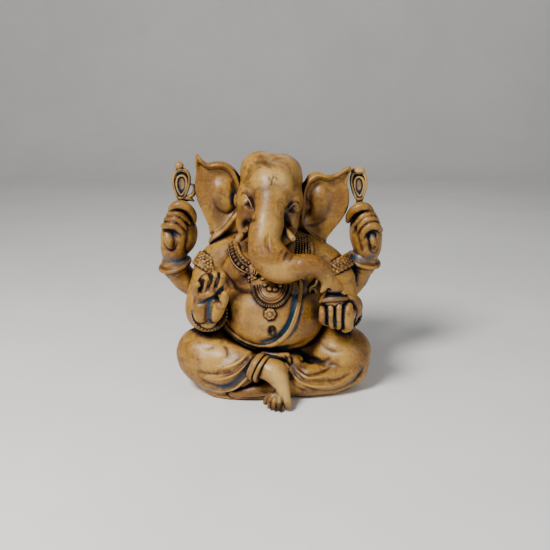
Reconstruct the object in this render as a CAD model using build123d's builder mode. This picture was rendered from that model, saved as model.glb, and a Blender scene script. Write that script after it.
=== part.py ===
"""Seated, four-armed, elephant-headed devotional figure in cold-cast resin, as separately moulded pieces.

The figure faces -Y with +Z up. The origin is on the table, under the middle of the belly. "Right" and
"left" in a name are the figure's own, so its right side is on -X. Every length is in millimetres, every
angle in degrees.
"""

import os
from math import cos, radians, sin, sqrt

from build123d import *

PARTS = "parts"
os.makedirs(PARTS, exist_ok=True)

# Driving dimensions.
PAD_THICKNESS = 1.2  # felt under the base
PLUG_THICKNESS = 4.0  # plate that closes the hollow casting
GLUE_GAP = 0.15  # round a pin or a plate in its seat
DOWEL_RADIUS = 4.0  # wooden dowel through the neck
WIRE_RADIUS = 1.6  # steel wire inside a rear arm
EAR_FRONT, EAR_BACK = 2.0, 8.0  # Y of an ear's two faces
EAR_CORNER = 4.0  # rounding of its outline
EMBLEM_THICKNESS = 5.6  # goad and noose
HEAD_TILT = 6.5  # the head leans towards the figure's left
BEAD = 1.5  # radius of the smaller beads
CORD = 1.7  # radius of the shoulder cord

# Centres and radii of the main masses.
HEAD = (-2.5, -6, 162)
SKULL_SIZE = (26.5, 31, 27)
THROAT_SIZE = (17, 17, 15)
CHEST = (-1, -2, 104)
CHEST_SIZE = (44, 27, 24)
BREAST_SIZE = (16, 13, 14)
BELLY = (-1, -14.5, 69)
BELLY_SIZE = (44, 44, 34)
HIPS = (0, 6, 22)
HIPS_SIZE = (58, 36, 26)
CAVITY_SIZE = (38, 21, 22)
PLUG_CENTRE = (0, 2, PAD_THICKNESS)
PLUG_SIZE = (40, 22)


# ---------------------------------------------------------------- helpers
def egg(centre, size, turn=(0, 0, 0), mode=Mode.ADD):
    """Adds an ellipsoid with these three radii to the part being built."""
    blank = scale(Sphere(1, mode=Mode.PRIVATE), by=size, mode=Mode.PRIVATE)
    add(Location(centre, turn) * blank, mode=mode)


def beside(point, offset):
    """A point moved by an offset."""
    return tuple(p + o for p, o in zip(point, offset))


def on_head(x, y, z):
    """A point given in the head's own upright frame, turned with the head."""
    a = radians(HEAD_TILT)
    return (HEAD[0] + x * cos(a) + z * sin(a), HEAD[1] + y, HEAD[2] - x * sin(a) + z * cos(a))


def on_front(centre, size, x, z, out):
    """The point that stands this far out from the front of an ellipsoid, square to it at this X and Z."""
    left = 1 - ((x - centre[0]) / size[0]) ** 2 - ((z - centre[2]) / size[2]) ** 2
    spot = Vector(x, centre[1] - size[1] * sqrt(left), z)
    slope = Vector(*((p - c) / r**2 for p, c, r in zip(spot, centre, size)))
    return tuple(spot + slope.normalized() * out)


def rings(points, radii):
    """Planes square to the line through the points, with their radii, domed by smaller rings at both ends."""
    spots = [Vector(*p) for p in points]
    last = len(spots) - 1
    ways = [(spots[min(i + 1, last)] - spots[max(i - 1, 0)]).normalized() for i in range(last + 1)]
    found = list(zip(spots, ways, radii))
    for angle in (35, 62, 82):
        lift, shrink = sin(radians(angle)), cos(radians(angle))
        found.insert(0, (spots[0] - ways[0] * radii[0] * lift, ways[0], radii[0] * shrink))
        found.append((spots[last] + ways[last] * radii[last] * lift, ways[last], radii[last] * shrink))
    across = Vector(0.31, 0.87, 0.38)
    for spot, way, radius in found:
        across = (across - way * across.dot(way)).normalized()
        yield Plane(spot, x_dir=across, z_dir=way), radius


def limb(points, radii, mode=Mode.ADD):
    """Adds a rounded limb: circles square to the line through the points, lofted into one solid."""
    with BuildPart(mode=Mode.PRIVATE) as shape:
        for plane, radius in rings(points, radii):
            with BuildSketch(plane):
                Circle(radius)
        loft()
    add(shape.part, mode=mode)


def cord(points, radius, periodic=False):
    """Adds a round cord along a spline through the points."""
    with BuildPart(mode=Mode.PRIVATE) as shape:
        with BuildLine() as run:
            Spline(*points, periodic=periodic)
        with BuildSketch(Plane(run.line @ 0, z_dir=run.line % 0)):
            Circle(radius)
        sweep(path=run.line)
    add(shape.part)


def band(centre, axis, inner, outer, width):
    """Adds a ring round a limb, square to the axis, with rounded edges."""
    with BuildPart(mode=Mode.PRIVATE) as shape:
        with BuildSketch(Plane(centre, z_dir=axis)):
            Circle(outer)
            Circle(inner, mode=Mode.SUBTRACT)
        extrude(amount=width / 2, both=True)
        fillet(shape.edges().filter_by(GeomType.CIRCLE), min(width, outer - inner) / 4)
    add(shape.part)


def pin(start, end, radius, mode=Mode.ADD):
    """Adds a straight round pin between two points."""
    way = Vector(*end) - Vector(*start)
    with BuildPart(mode=Mode.PRIVATE) as shape:
        with BuildSketch(Plane(start, z_dir=way)):
            Circle(radius)
        extrude(amount=way.length)
    add(shape.part, mode=mode)


def bore(start, end, radius):
    """Takes a glued pin's hole out of the part being built, a little wider and longer than the pin."""
    way = (Vector(*end) - Vector(*start)).normalized() * GLUE_GAP
    first, last = Vector(*start) - way, Vector(*end) + way
    pin(tuple(first), tuple(last), radius + GLUE_GAP, mode=Mode.SUBTRACT)


def beads(points, radius):
    """Adds a bead at every point."""
    with Locations(*points):
        Sphere(radius)


def disc(centre, axis, radius, thickness):
    """Adds a round boss with a domed front, standing along the axis."""
    with BuildPart(mode=Mode.PRIVATE) as shape:
        with BuildSketch(Plane(centre, z_dir=axis)):
            Circle(radius)
        extrude(amount=thickness)
        fillet(shape.faces().sort_by(Axis(centre, axis))[-1].edges(), thickness * 0.45)
    add(shape.part)


def minus(*builders):
    """Takes neighbouring pieces out of the part being built, so that they meet face to face."""
    for builder in builders:
        add(builder.part, mode=Mode.SUBTRACT)


def largest(builder):
    """Drops the slivers that a neighbour cut off a piece that is one solid."""
    slivers = builder.solids().sort_by(SortBy.VOLUME)[:-1]
    if slivers:
        add(slivers, mode=Mode.SUBTRACT)


def keep(builder, name):
    """Labels a finished piece and writes its STEP file."""
    builder.part.label = name
    export_step(builder.part, f"{PARTS}/{name}.step")


# ---------------------------------------------------------------- dowel and wires inside the glued joints
NECK_FOOT, NECK_TOP = (-1, 3, 106), (-1, 3, 138)
RIGHT_WIRE = ((-38, 14, 104), (-58, 19, 85))
LEFT_WIRE = ((40, 14, 102), (58, 19, 84))

with BuildPart() as neck_dowel:
    pin(NECK_FOOT, NECK_TOP, DOWEL_RADIUS)

with BuildPart() as rear_arm_wires:
    for start, end in (RIGHT_WIRE, LEFT_WIRE):
        pin(start, end, WIRE_RADIUS)

# ---------------------------------------------------------------- head and trunk, one casting
TRUNK_LINE = [
    on_head(0.5, -32, -4),
    (-3.6, -46, 146),
    (-4.6, -51, 132),
    (-1.2, -54, 119.5),
    (7, -57, 113.2),
    (16, -60, 114),
    (26, -61, 117.2),
    (35, -60, 116),
    (42.4, -58.4, 108.4),
    (47.2, -57, 100),
]
TRUNK_RADII = [13.5, 14.5, 15, 14.5, 12.5, 10.6, 8.8, 7.8, 6.6, 6.4]

with BuildPart() as head:
    egg(on_head(0, 2, 6), SKULL_SIZE, (0, HEAD_TILT, 0))
    for side in (-1, 1):
        egg(on_head(side * 11.5, 3, 19), (15.5, 22, 16.5), (0, HEAD_TILT, 0))
        egg(on_head(side * 14, -9, -15), (11.5, 17, 16), (0, HEAD_TILT, side * 8))
    limb(TRUNK_LINE, TRUNK_RADII)
    egg(on_head(0, 8, -24), THROAT_SIZE)
    bore(NECK_FOOT, NECK_TOP, DOWEL_RADIUS)

# ---------------------------------------------------------------- torso with its shoulders
with BuildPart() as torso:
    egg(BELLY, BELLY_SIZE)
    egg(CHEST, CHEST_SIZE)
    egg(beside(CHEST, (-24, -20, 1)), BREAST_SIZE)
    egg(beside(CHEST, (24, -20, -2)), BREAST_SIZE)
    egg(beside(CHEST, (0, 6, 14)), (38, 20, 15))
    limb([(-31, 2, 110), (-46, 3, 106), (-55, 0, 96)], [16, 16, 13])
    limb([(29, 2, 110), (44, 3, 104), (56, -1, 93)], [16, 16, 13])
    minus(head)
    bore(NECK_FOOT, NECK_TOP, DOWEL_RADIUS)
    for start, end in (RIGHT_WIRE, LEFT_WIRE):
        bore(start, end, WIRE_RADIUS)

# ---------------------------------------------------------------- hips and crossed legs, one hollow casting
with BuildPart() as seat_and_legs:
    egg(HIPS, HIPS_SIZE)
    limb([(-24, -6, 30), (-48, -18, 30), (-66, -24, 28)], [23, 22, 18])  # right thigh
    limb([(24, -6, 30), (50, -18, 30), (67, -22, 28)], [23, 22, 18])  # left thigh
    limb([(-62, -32, 19), (-40, -46, 17), (-20, -58, 27)], [16, 16, 10])  # right shin, in front
    limb([(64, -30, 17), (42, -42, 13), (12, -46, 11)], [15, 13.5, 10.5])  # left shin, behind
    minus(torso)
    split(bisect_by=Plane.XY.offset(PAD_THICKNESS), keep=Keep.TOP)
    egg(beside(HIPS, (0, -4, -14)), CAVITY_SIZE, mode=Mode.SUBTRACT)
    with BuildSketch(Plane(PLUG_CENTRE)):
        Ellipse(*PLUG_SIZE)
    extrude(amount=PLUG_THICKNESS, mode=Mode.SUBTRACT)

with BuildPart() as base_plug:
    with BuildSketch(Plane(PLUG_CENTRE)):
        Ellipse(PLUG_SIZE[0] - GLUE_GAP, PLUG_SIZE[1] - GLUE_GAP)
    extrude(amount=PLUG_THICKNESS - GLUE_GAP)

with BuildPart() as felt_pad:
    with BuildSketch():
        with Locations((0, 4)):
            Ellipse(48, 28)
        with Locations((4, -32)):
            Ellipse(46, 16)
    extrude(amount=PAD_THICKNESS)

# ---------------------------------------------------------------- ears, flaps with a shallow bowl in front
RIGHT_EAR = [
    (-20, 176),
    (-43, 189.5),
    (-64, 196.5),
    (-63, 176),
    (-65, 158),
    (-58, 136),
    (-54, 120),
    (-42, 124),
    (-22, 131),
]
LEFT_EAR = [
    (18, 172),
    (40, 182),
    (63.5, 185.5),
    (66, 168),
    (64, 150),
    (56, 137),
    (46, 117),
    (34, 122),
    (17, 131),
]
EAR_BOWL = (15, 4, 22)


def ear(outline, bowl):
    """Adds an ear's rounded outline with its thickness, and presses the bowl into its front."""
    with BuildPart(mode=Mode.PRIVATE) as flap:
        with BuildSketch(Plane.XZ.offset(-EAR_BACK)):
            with BuildLine():
                Polyline(*outline, close=True)
            make_face()
        extrude(amount=EAR_BACK - EAR_FRONT)
        fillet(flap.edges().filter_by(Axis.Y), EAR_CORNER)
        egg(bowl, EAR_BOWL, mode=Mode.SUBTRACT)
    add(flap.part)


with BuildPart() as right_ear:
    ear(RIGHT_EAR, (-45, EAR_FRONT, 164))
    minus(head, torso)

with BuildPart() as left_ear:
    ear(LEFT_EAR, (44, EAR_FRONT, 156))
    minus(head, torso)

# ---------------------------------------------------------------- tusks, the left one broken short
with BuildPart() as right_tusk:
    limb([(-18, -34, 141), (-22.5, -41, 136), (-26.5, -47.5, 131.8)], [3.4, 3.2, 1.6])
    minus(head)

with BuildPart() as left_tusk:
    limb([(10, -42, 137), (13, -48, 135.4)], [3.6, 3.6])
    minus(head)

# ---------------------------------------------------------------- front arms and hands
with BuildPart() as front_right_arm:
    limb(
        [(-56, -2, 93), (-62, -9, 76), (-62.5, -17, 65), (-59, -33, 64), (-54, -44, 68)],
        [13, 12, 12, 10.5, 9],
    )
    minus(torso, seat_and_legs, rear_arm_wires)

with BuildPart() as front_right_hand:
    egg((-52, -53, 80), (13, 6, 17))
    for x, foot, tip in ((-61.5, 86, 101), (-56.2, 88, 104.5), (-50.4, 89, 107), (-43.6, 86, 110)):
        limb([(x * 0.6 - 21, -52, foot), (x, -54, (foot + tip) / 2), (x, -58.5, tip)], [3.6, 3.4, 2.8])
    limb([(-44, -55, 74), (-38.5, -59, 83), (-36.5, -62, 92)], [4.2, 3.8, 2.8])
    minus(front_right_arm, torso)

with BuildPart() as front_left_arm:
    limb(
        [(57, -2, 92), (61, -6, 77), (62, -15, 65), (61, -27, 64), (60, -36, 67)],
        [12.5, 12, 11.5, 10.5, 9.5],
    )
    minus(torso, seat_and_legs, rear_arm_wires)

with BuildPart() as modak:
    egg((52, -50, 83), (11, 11, 9.5))
    minus(torso, head)

with BuildPart() as front_left_hand:
    egg((54, -47, 71), (15, 11, 10))
    for x, tip in ((39.8, 80), (47, 83.5), (53.6, 83), (62.6, 77)):
        limb([(x, -55, 66), (x, -60.5, 73), (x, -60.5, tip)], [3.8, 3.5, 3.1])
    limb([(69, -44, 73), (69.5, -47, 81), (64.5, -50, 87)], [4.2, 3.8, 3])
    minus(front_left_arm, torso, modak, seat_and_legs)

# ---------------------------------------------------------------- rear arms, raised hands and their emblems
with BuildPart() as rear_right_arm:
    limb(
        [(-50, 15, 94), (-58, 19, 82), (-68, 20, 75), (-79, 17, 83), (-86, 14, 93)],
        [11.5, 11.5, 11, 10.5, 9.5],
    )
    minus(torso, front_right_arm, seat_and_legs)
    bore(*RIGHT_WIRE, WIRE_RADIUS)

with BuildPart() as rear_left_arm:
    limb([(51, 15, 93), (58, 19, 82), (67, 20, 75), (75, 17, 85), (79, 14, 95)], [11.5, 11.5, 11, 10.5, 9.5])
    minus(torso, front_left_arm, seat_and_legs)
    bore(*LEFT_WIRE, WIRE_RADIUS)


def emblem(centre, half_width, half_height, shaft_foot):
    """Adds a hand-held emblem: a teardrop loop with a smaller one inside, a knob on top and a short shaft."""
    x, y, z = centre
    with BuildPart(mode=Mode.PRIVATE) as shape:
        with BuildSketch(Plane.XZ.offset(-y - EMBLEM_THICKNESS / 2)):
            for outer, hole in ((1, 0.74), (0.5, 0.28)):
                with Locations((x, z - half_height * (1 - outer) * 0.5)):
                    Ellipse(half_width * outer, half_height * outer)
                    Ellipse(half_width * hole, half_height * hole, mode=Mode.SUBTRACT)
            with Locations((x, z - half_height * 0.74)):
                Rectangle(half_width * 0.5, half_height * 0.42)
        extrude(amount=EMBLEM_THICKNESS)
        pin((shaft_foot[0], y, shaft_foot[1]), (x, y, z - half_height * 0.85), 2.6)
    add(shape.part)


with BuildPart() as goad:
    emblem((-78.6, 11.5, 168.8), 9, 13.3, (-80.5, 142))
    egg((-79.6, 11.5, 184.2), (3, 3, 3.2))
    limb([(-71, 11, 160), (-67.5, 12.5, 164), (-67, 13.5, 168)], [2, 1.9, 1.2])

with BuildPart() as noose:
    emblem((73.3, 11.5, 168.4), 8, 13.3, (76.5, 141))
    egg((73.3, 11.5, 182.8), (4.2, 4.2, 3))


def fist(centre, ridges, thumb):
    """Adds a closed hand: a palm mass, four fingers wrapped across the front and a thumb below them."""
    egg(centre, (12.5, 11.6, 22))
    for start, middle, end in ridges:
        limb([start, middle, end], [5.2, 5.2, 4.4])
    limb(thumb, [4.4, 4.2, 3.4])


with BuildPart() as rear_right_hand:
    heights = (148.2, 142, 136.2, 130.6)
    ridges = [((-91, 9, z), (-88, -1, z - 0.5), (-77 + i, -4, z - 1.5)) for i, z in enumerate(heights)]
    fist((-82.5, 10.3, 126), ridges, [(-90, 2, 120), (-88, -2, 117), (-84, -3, 114)])
    minus(goad, rear_right_arm)

with BuildPart() as rear_left_hand:
    heights = (147.2, 141.2, 135.6, 130.4)
    ridges = [((88.6, 9, z), (86, -1, z - 0.6), (74.6 - i, -4, z - 1.2)) for i, z in enumerate(heights)]
    fist((80.1, 10.3, 126.2), ridges, [(87.5, 3, 113), (86.5, -1, 118), (85.5, -2, 123)])
    minus(noose)

# ---------------------------------------------------------------- feet and the hems that cover the ankles
TOES = [(11, -79, 6), (6, -80, 5.4), (1.4, -79, 5.4), (-2.8, -77.4, 5.8), (-6, -75.6, 6.4)]

with BuildPart() as right_foot:
    limb([(-10, -62.5, 30), (1, -67, 28), (7, -71, 19), (9.4, -75, 11)], [8.8, 9.2, 7, 5.6])
    egg((3, -75, 8.8), (10.5, 5.6, 5.8))
    for i, toe in enumerate(TOES):
        egg(toe, (3.9 - 0.3 * i, 5 - 0.3 * i, 4 - 0.25 * i))
    minus(seat_and_legs)

with BuildPart() as left_foot:
    limb([(-2, -50, 10), (-14, -58, 9), (-30, -58, 7.5)], [8.5, 7.8, 6])
    minus(seat_and_legs, right_foot)

with BuildPart() as ankle_hem:
    band((-14, -60.8, 30.2), (0.85, -0.36, -0.36), 9.6, 12, 8)
    minus(seat_and_legs, right_foot, left_foot, torso)

with BuildPart() as lap_cloth:
    limb([(-10, -50, 38.5), (2, -53.5, 37.5), (13, -52.5, 36)], [3, 3.4, 3])
    minus(seat_and_legs, torso, right_foot, left_foot, ankle_hem)

# ---------------------------------------------------------------- cord, collar and belt
CORD_ON_CHEST = [(30, -10, 124), (25, -30, 112), (20.5, -47.5, 92)]
CORD_ON_BELLY = [on_front(BELLY, BELLY_SIZE, x, z, 1) for x, z in ((17.4, 73), (8.4, 54.4), (-9, 42))]

with BuildPart() as shoulder_cord:
    cord([*CORD_ON_CHEST, *CORD_ON_BELLY], CORD)
    minus(torso, head)

# ---------------------------------------------------------------- jewellery on the chest and belly
COLLAR_LINE = [
    (-36, 2, 127), (-31, -16, 122), (-22, -33, 112), (-4, -37, 107), (18, -31, 113), (30, -10, 121)
]
COLLAR_BEAD_COUNT, COLLAR_RADIUS = 18, 3.2
BIB = (-1.5, 92)  # X and Z of the middle of the bib's straight top edge
BIB_HALF_WIDTH, BIB_DROP, BIB_THICKNESS = 15.5, 10.0, 2.0
MEDALLION = (-17.5, -38.8, 105.5)
BIB_BEAD_COUNT = 17

with BuildPart() as collar_band:
    cord(COLLAR_LINE, COLLAR_RADIUS)
    minus(torso, head, shoulder_cord)

BELT_SURFACE = (46, 45, 35)  # radii of the belly where the belt rests on it
BELT_LINE = [on_front(BELLY, BELT_SURFACE, x, z, 0.5) for x, z in ((-43, 66), (-36, 53), (-24, 45), (-10, 41))]

with BuildPart() as waist_belt:
    cord(BELT_LINE, 1.6)
    minus(torso, seat_and_legs, lap_cloth, front_right_arm, front_right_hand)


def beside_collar(fraction):
    """A bead's centre at this fraction of the collar's length, on the side that faces away from the neck."""
    run = Spline(*COLLAR_LINE)
    spot, way = run @ fraction, run % fraction
    outward = spot - Vector(*CHEST)
    outward -= way * outward.dot(way)
    return spot + outward.normalized() * (COLLAR_RADIUS + BEAD + 0.1)


with BuildPart() as collar_beads:
    spots = [beside_collar((i + 0.5) / COLLAR_BEAD_COUNT) for i in range(COLLAR_BEAD_COUNT)]
    beads([spot for spot in spots if (spot - Vector(*MEDALLION)).length > 9], BEAD)


def on_belly(angle, grow, out):
    """A point in front of the belly on the bib's half ellipse, grown by this factor."""
    x = BIB[0] + BIB_HALF_WIDTH * grow * cos(radians(angle))
    z = BIB[1] - BIB_DROP * grow * sin(radians(angle))
    return on_front(BELLY, BELLY_SIZE, x, z, out)


def flower(centre, axis, petals, radius, thickness):
    """Adds a flower boss: a ring of round petals about a middle."""
    with BuildPart(mode=Mode.PRIVATE) as shape:
        with BuildSketch(Plane(centre, z_dir=axis)):
            Circle(radius * 0.5)
            with PolarLocations(radius * 0.66, petals):
                Circle(radius * 0.34)
        extrude(amount=thickness)
    add(shape.part)


with BuildPart() as bib_necklace:
    egg(BELLY, tuple(r + BIB_THICKNESS for r in BELLY_SIZE))
    with BuildSketch(Plane.XZ.offset(-BELLY[1])):
        with Locations(BIB):
            Ellipse(BIB_HALF_WIDTH, BIB_DROP)
            Rectangle(2 * BIB_HALF_WIDTH, BIB_DROP, align=(Align.CENTER, Align.MIN), mode=Mode.SUBTRACT)
    extrude(amount=BELLY_SIZE[1] + 2 * BIB_THICKNESS, mode=Mode.INTERSECT)
    minus(torso, shoulder_cord)

with BuildPart() as bib_beads:
    step = 164 / (BIB_BEAD_COUNT - 1)
    beads([on_belly(8 + i * step, 1.22, BEAD) for i in range(BIB_BEAD_COUNT)], BEAD * 0.9)

with BuildPart() as garland_beads:
    beads([on_belly(angle, 0.55, BIB_THICKNESS + 2.1) for angle in (14, 52, 90, 128, 166)], 2.0)

with BuildPart() as pendant_flower:
    flower(on_front(BELLY, BELLY_SIZE, -2.3, 73, 0.1), (-0.03, -1, 0.12), 7, 5, 3.4)

with BuildPart() as medallion:
    disc(MEDALLION, (-0.25, -0.95, 0.15), 6, 3.4)
    minus(head, collar_band)

with BuildPart() as chest_flower:
    flower((-17, -36, 96), (-0.2, -1, -0.1), 6, 4.4, 3.4)
    minus(torso, medallion, collar_beads)

with BuildPart() as chest_knot:
    band(on_front(BELLY, BELLY_SIZE, 31, 86, 0.4), (0.6, -0.75, 0.3), 1.6, 4.4, 3)
    minus(torso, front_left_arm)

# ---------------------------------------------------------------- jewellery on the arms
with BuildPart() as right_armlet:
    band((-52, 1.2, 99.6), (-0.66, -0.22, -0.72), 12.6, 16.6, 5)
    minus(torso, front_right_arm, rear_right_arm)
    bore(*RIGHT_WIRE, WIRE_RADIUS)
    largest(right_armlet)

with BuildPart() as left_armlet:
    band((52.4, 0.4, 97), (0.7, -0.25, -0.67), 12.6, 16.4, 5)
    minus(torso, front_left_arm, rear_left_arm)
    bore(*LEFT_WIRE, WIRE_RADIUS)
    largest(left_armlet)

with BuildPart() as right_bracelet:
    band((-56.8, -39.5, 66), (0.42, -0.86, 0.28), 9, 12.8, 6)
    minus(front_right_arm, front_right_hand, torso, seat_and_legs)

with BuildPart() as left_bracelet:
    band((60.8, -32, 66), (-0.2, -0.94, 0.27), 9, 12.6, 6)
    minus(front_left_arm, front_left_hand, torso, seat_and_legs)

with BuildPart() as rear_right_cuff:
    band((-86.6, 13.4, 97.6), (-0.3, -0.15, 0.94), 7.6, 13.6, 8)
    minus(rear_right_arm, rear_right_hand)

with BuildPart() as rear_left_cuff:
    band((79.4, 13.4, 99.4), (0.15, -0.1, 0.98), 7.6, 14.2, 8)
    minus(rear_left_arm, rear_left_hand)

BUILT = {
    "neck_dowel": neck_dowel,
    "rear_arm_wires": rear_arm_wires,
    "head": head,
    "torso": torso,
    "seat_and_legs": seat_and_legs,
    "base_plug": base_plug,
    "felt_pad": felt_pad,
    "right_ear": right_ear,
    "left_ear": left_ear,
    "right_tusk": right_tusk,
    "left_tusk": left_tusk,
    "front_right_arm": front_right_arm,
    "front_right_hand": front_right_hand,
    "front_left_arm": front_left_arm,
    "front_left_hand": front_left_hand,
    "modak": modak,
    "rear_right_arm": rear_right_arm,
    "rear_left_arm": rear_left_arm,
    "goad": goad,
    "noose": noose,
    "rear_right_hand": rear_right_hand,
    "rear_left_hand": rear_left_hand,
    "right_foot": right_foot,
    "left_foot": left_foot,
    "ankle_hem": ankle_hem,
    "lap_cloth": lap_cloth,
    "shoulder_cord": shoulder_cord,
    "collar_band": collar_band,
    "waist_belt": waist_belt,
    "collar_beads": collar_beads,
    "bib_necklace": bib_necklace,
    "bib_beads": bib_beads,
    "garland_beads": garland_beads,
    "pendant_flower": pendant_flower,
    "medallion": medallion,
    "chest_flower": chest_flower,
    "chest_knot": chest_knot,
    "right_armlet": right_armlet,
    "left_armlet": left_armlet,
    "right_bracelet": right_bracelet,
    "left_bracelet": left_bracelet,
    "rear_right_cuff": rear_right_cuff,
    "rear_left_cuff": rear_left_cuff,
}
for name, builder in BUILT.items():
    keep(builder, name)
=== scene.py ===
import bpy
import math
import numpy as np
import openvdb as vdb
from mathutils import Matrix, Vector


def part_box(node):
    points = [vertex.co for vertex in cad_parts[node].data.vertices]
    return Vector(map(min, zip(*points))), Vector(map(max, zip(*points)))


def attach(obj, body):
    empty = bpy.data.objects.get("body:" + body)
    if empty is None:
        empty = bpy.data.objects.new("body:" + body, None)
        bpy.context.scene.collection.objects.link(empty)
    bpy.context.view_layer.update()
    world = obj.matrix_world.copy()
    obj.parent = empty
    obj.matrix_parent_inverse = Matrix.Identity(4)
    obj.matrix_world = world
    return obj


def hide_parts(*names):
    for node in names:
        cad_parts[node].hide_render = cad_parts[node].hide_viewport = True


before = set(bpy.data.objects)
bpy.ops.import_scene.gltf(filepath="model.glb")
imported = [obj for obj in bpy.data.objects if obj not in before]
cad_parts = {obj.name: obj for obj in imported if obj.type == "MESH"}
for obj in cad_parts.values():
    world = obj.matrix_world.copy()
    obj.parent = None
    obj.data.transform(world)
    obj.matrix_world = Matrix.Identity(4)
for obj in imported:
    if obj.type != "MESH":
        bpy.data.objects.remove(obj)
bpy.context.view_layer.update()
MM = 0.001
FAR = 30.0  # a field's value, in mm, well away from its surface


# ------------ curves
def spline(points, step=1.0):
    """Catmull-Rom through rows of numbers, the first three of them X, Y, Z, at about this spacing in mm."""
    p = np.array(points, np.float32)
    if len(p) == 2:
        n = max(2, int(np.linalg.norm(p[1, :3] - p[0, :3]) / step) + 1)
        t = np.linspace(0, 1, n, dtype=np.float32)[:, None]
        return p[0] * (1 - t) + p[1] * t
    q = np.vstack([2 * p[0] - p[1], p, 2 * p[-1] - p[-2]])
    out = []
    for i in range(len(p) - 1):
        a, b, c, d = q[i : i + 4]
        n = max(1, int(np.linalg.norm(c[:3] - b[:3]) / step))
        t = np.linspace(0, 1, n, endpoint=False, dtype=np.float32)[:, None]
        out.append(0.5 * (
            2 * b + (c - a) * t + (2 * a - 5 * b + 4 * c - d) * t**2 + (3 * b - a - 3 * c + d) * t**3))
    return np.vstack(out + [p[-1:]]).astype(np.float32)


def loop(points, step=1.0):
    """A closed Catmull-Rom through the points."""
    ring = spline([*points[-2:], *points, *points[:2]], step)
    gap = np.linalg.norm(ring[:, :3] - np.array(points[0][:3], np.float32), axis=1)
    half = len(ring) // 2
    return ring[int(np.argmin(gap[:half])) : len(ring) - int(np.argmin(gap[::-1][:half]))]


def rotation(turn):
    """The matrix that turns by these degrees about X, then Y, then Z."""
    a, b, c = (math.radians(v) for v in turn)
    rx = np.array([[1, 0, 0], [0, math.cos(a), -math.sin(a)], [0, math.sin(a), math.cos(a)]])
    ry = np.array([[math.cos(b), 0, math.sin(b)], [0, 1, 0], [-math.sin(b), 0, math.cos(b)]])
    rz = np.array([[math.cos(c), -math.sin(c), 0], [math.sin(c), math.cos(c), 0], [0, 0, 1]])
    return (rz @ ry @ rx).astype(np.float32)


def curve_distance(points, line):
    """For each point, the distance to the polyline and the other columns of the line at the nearest place."""
    best = np.full(len(points), 1e9, np.float32)
    extra = np.zeros((len(points), line.shape[1] - 3), np.float32)
    for a, b in zip(line[:-1], line[1:]):
        ab = b[:3] - a[:3]
        length = float(ab @ ab) + 1e-9
        rel = points - a[:3]
        t = np.clip(rel @ ab / length, 0, 1)
        d = np.einsum("ij,ij->i", rel, rel) - 2 * t * (rel @ ab) + t * t * length
        near = d < best
        best[near] = d[near]
        if extra.shape[1]:
            extra[near] = a[3:] + t[near, None] * (b[3:] - a[3:])
    return np.sqrt(np.maximum(best, 0)), extra


def smooth_min(a, b, k):
    """The lesser of two fields, rounded over k mm where they meet."""
    h = np.maximum(k - np.abs(a - b), 0) / k
    return np.minimum(a, b) - h * h * k * 0.25


def both(a, b, r):
    """The field of what lies inside two others, its edge rounded to r mm. Both come in shrunk by r."""
    return np.sqrt(np.maximum(a, 0) ** 2 + np.maximum(b, 0) ** 2) + np.minimum(np.maximum(a, b), 0) - r


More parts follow.
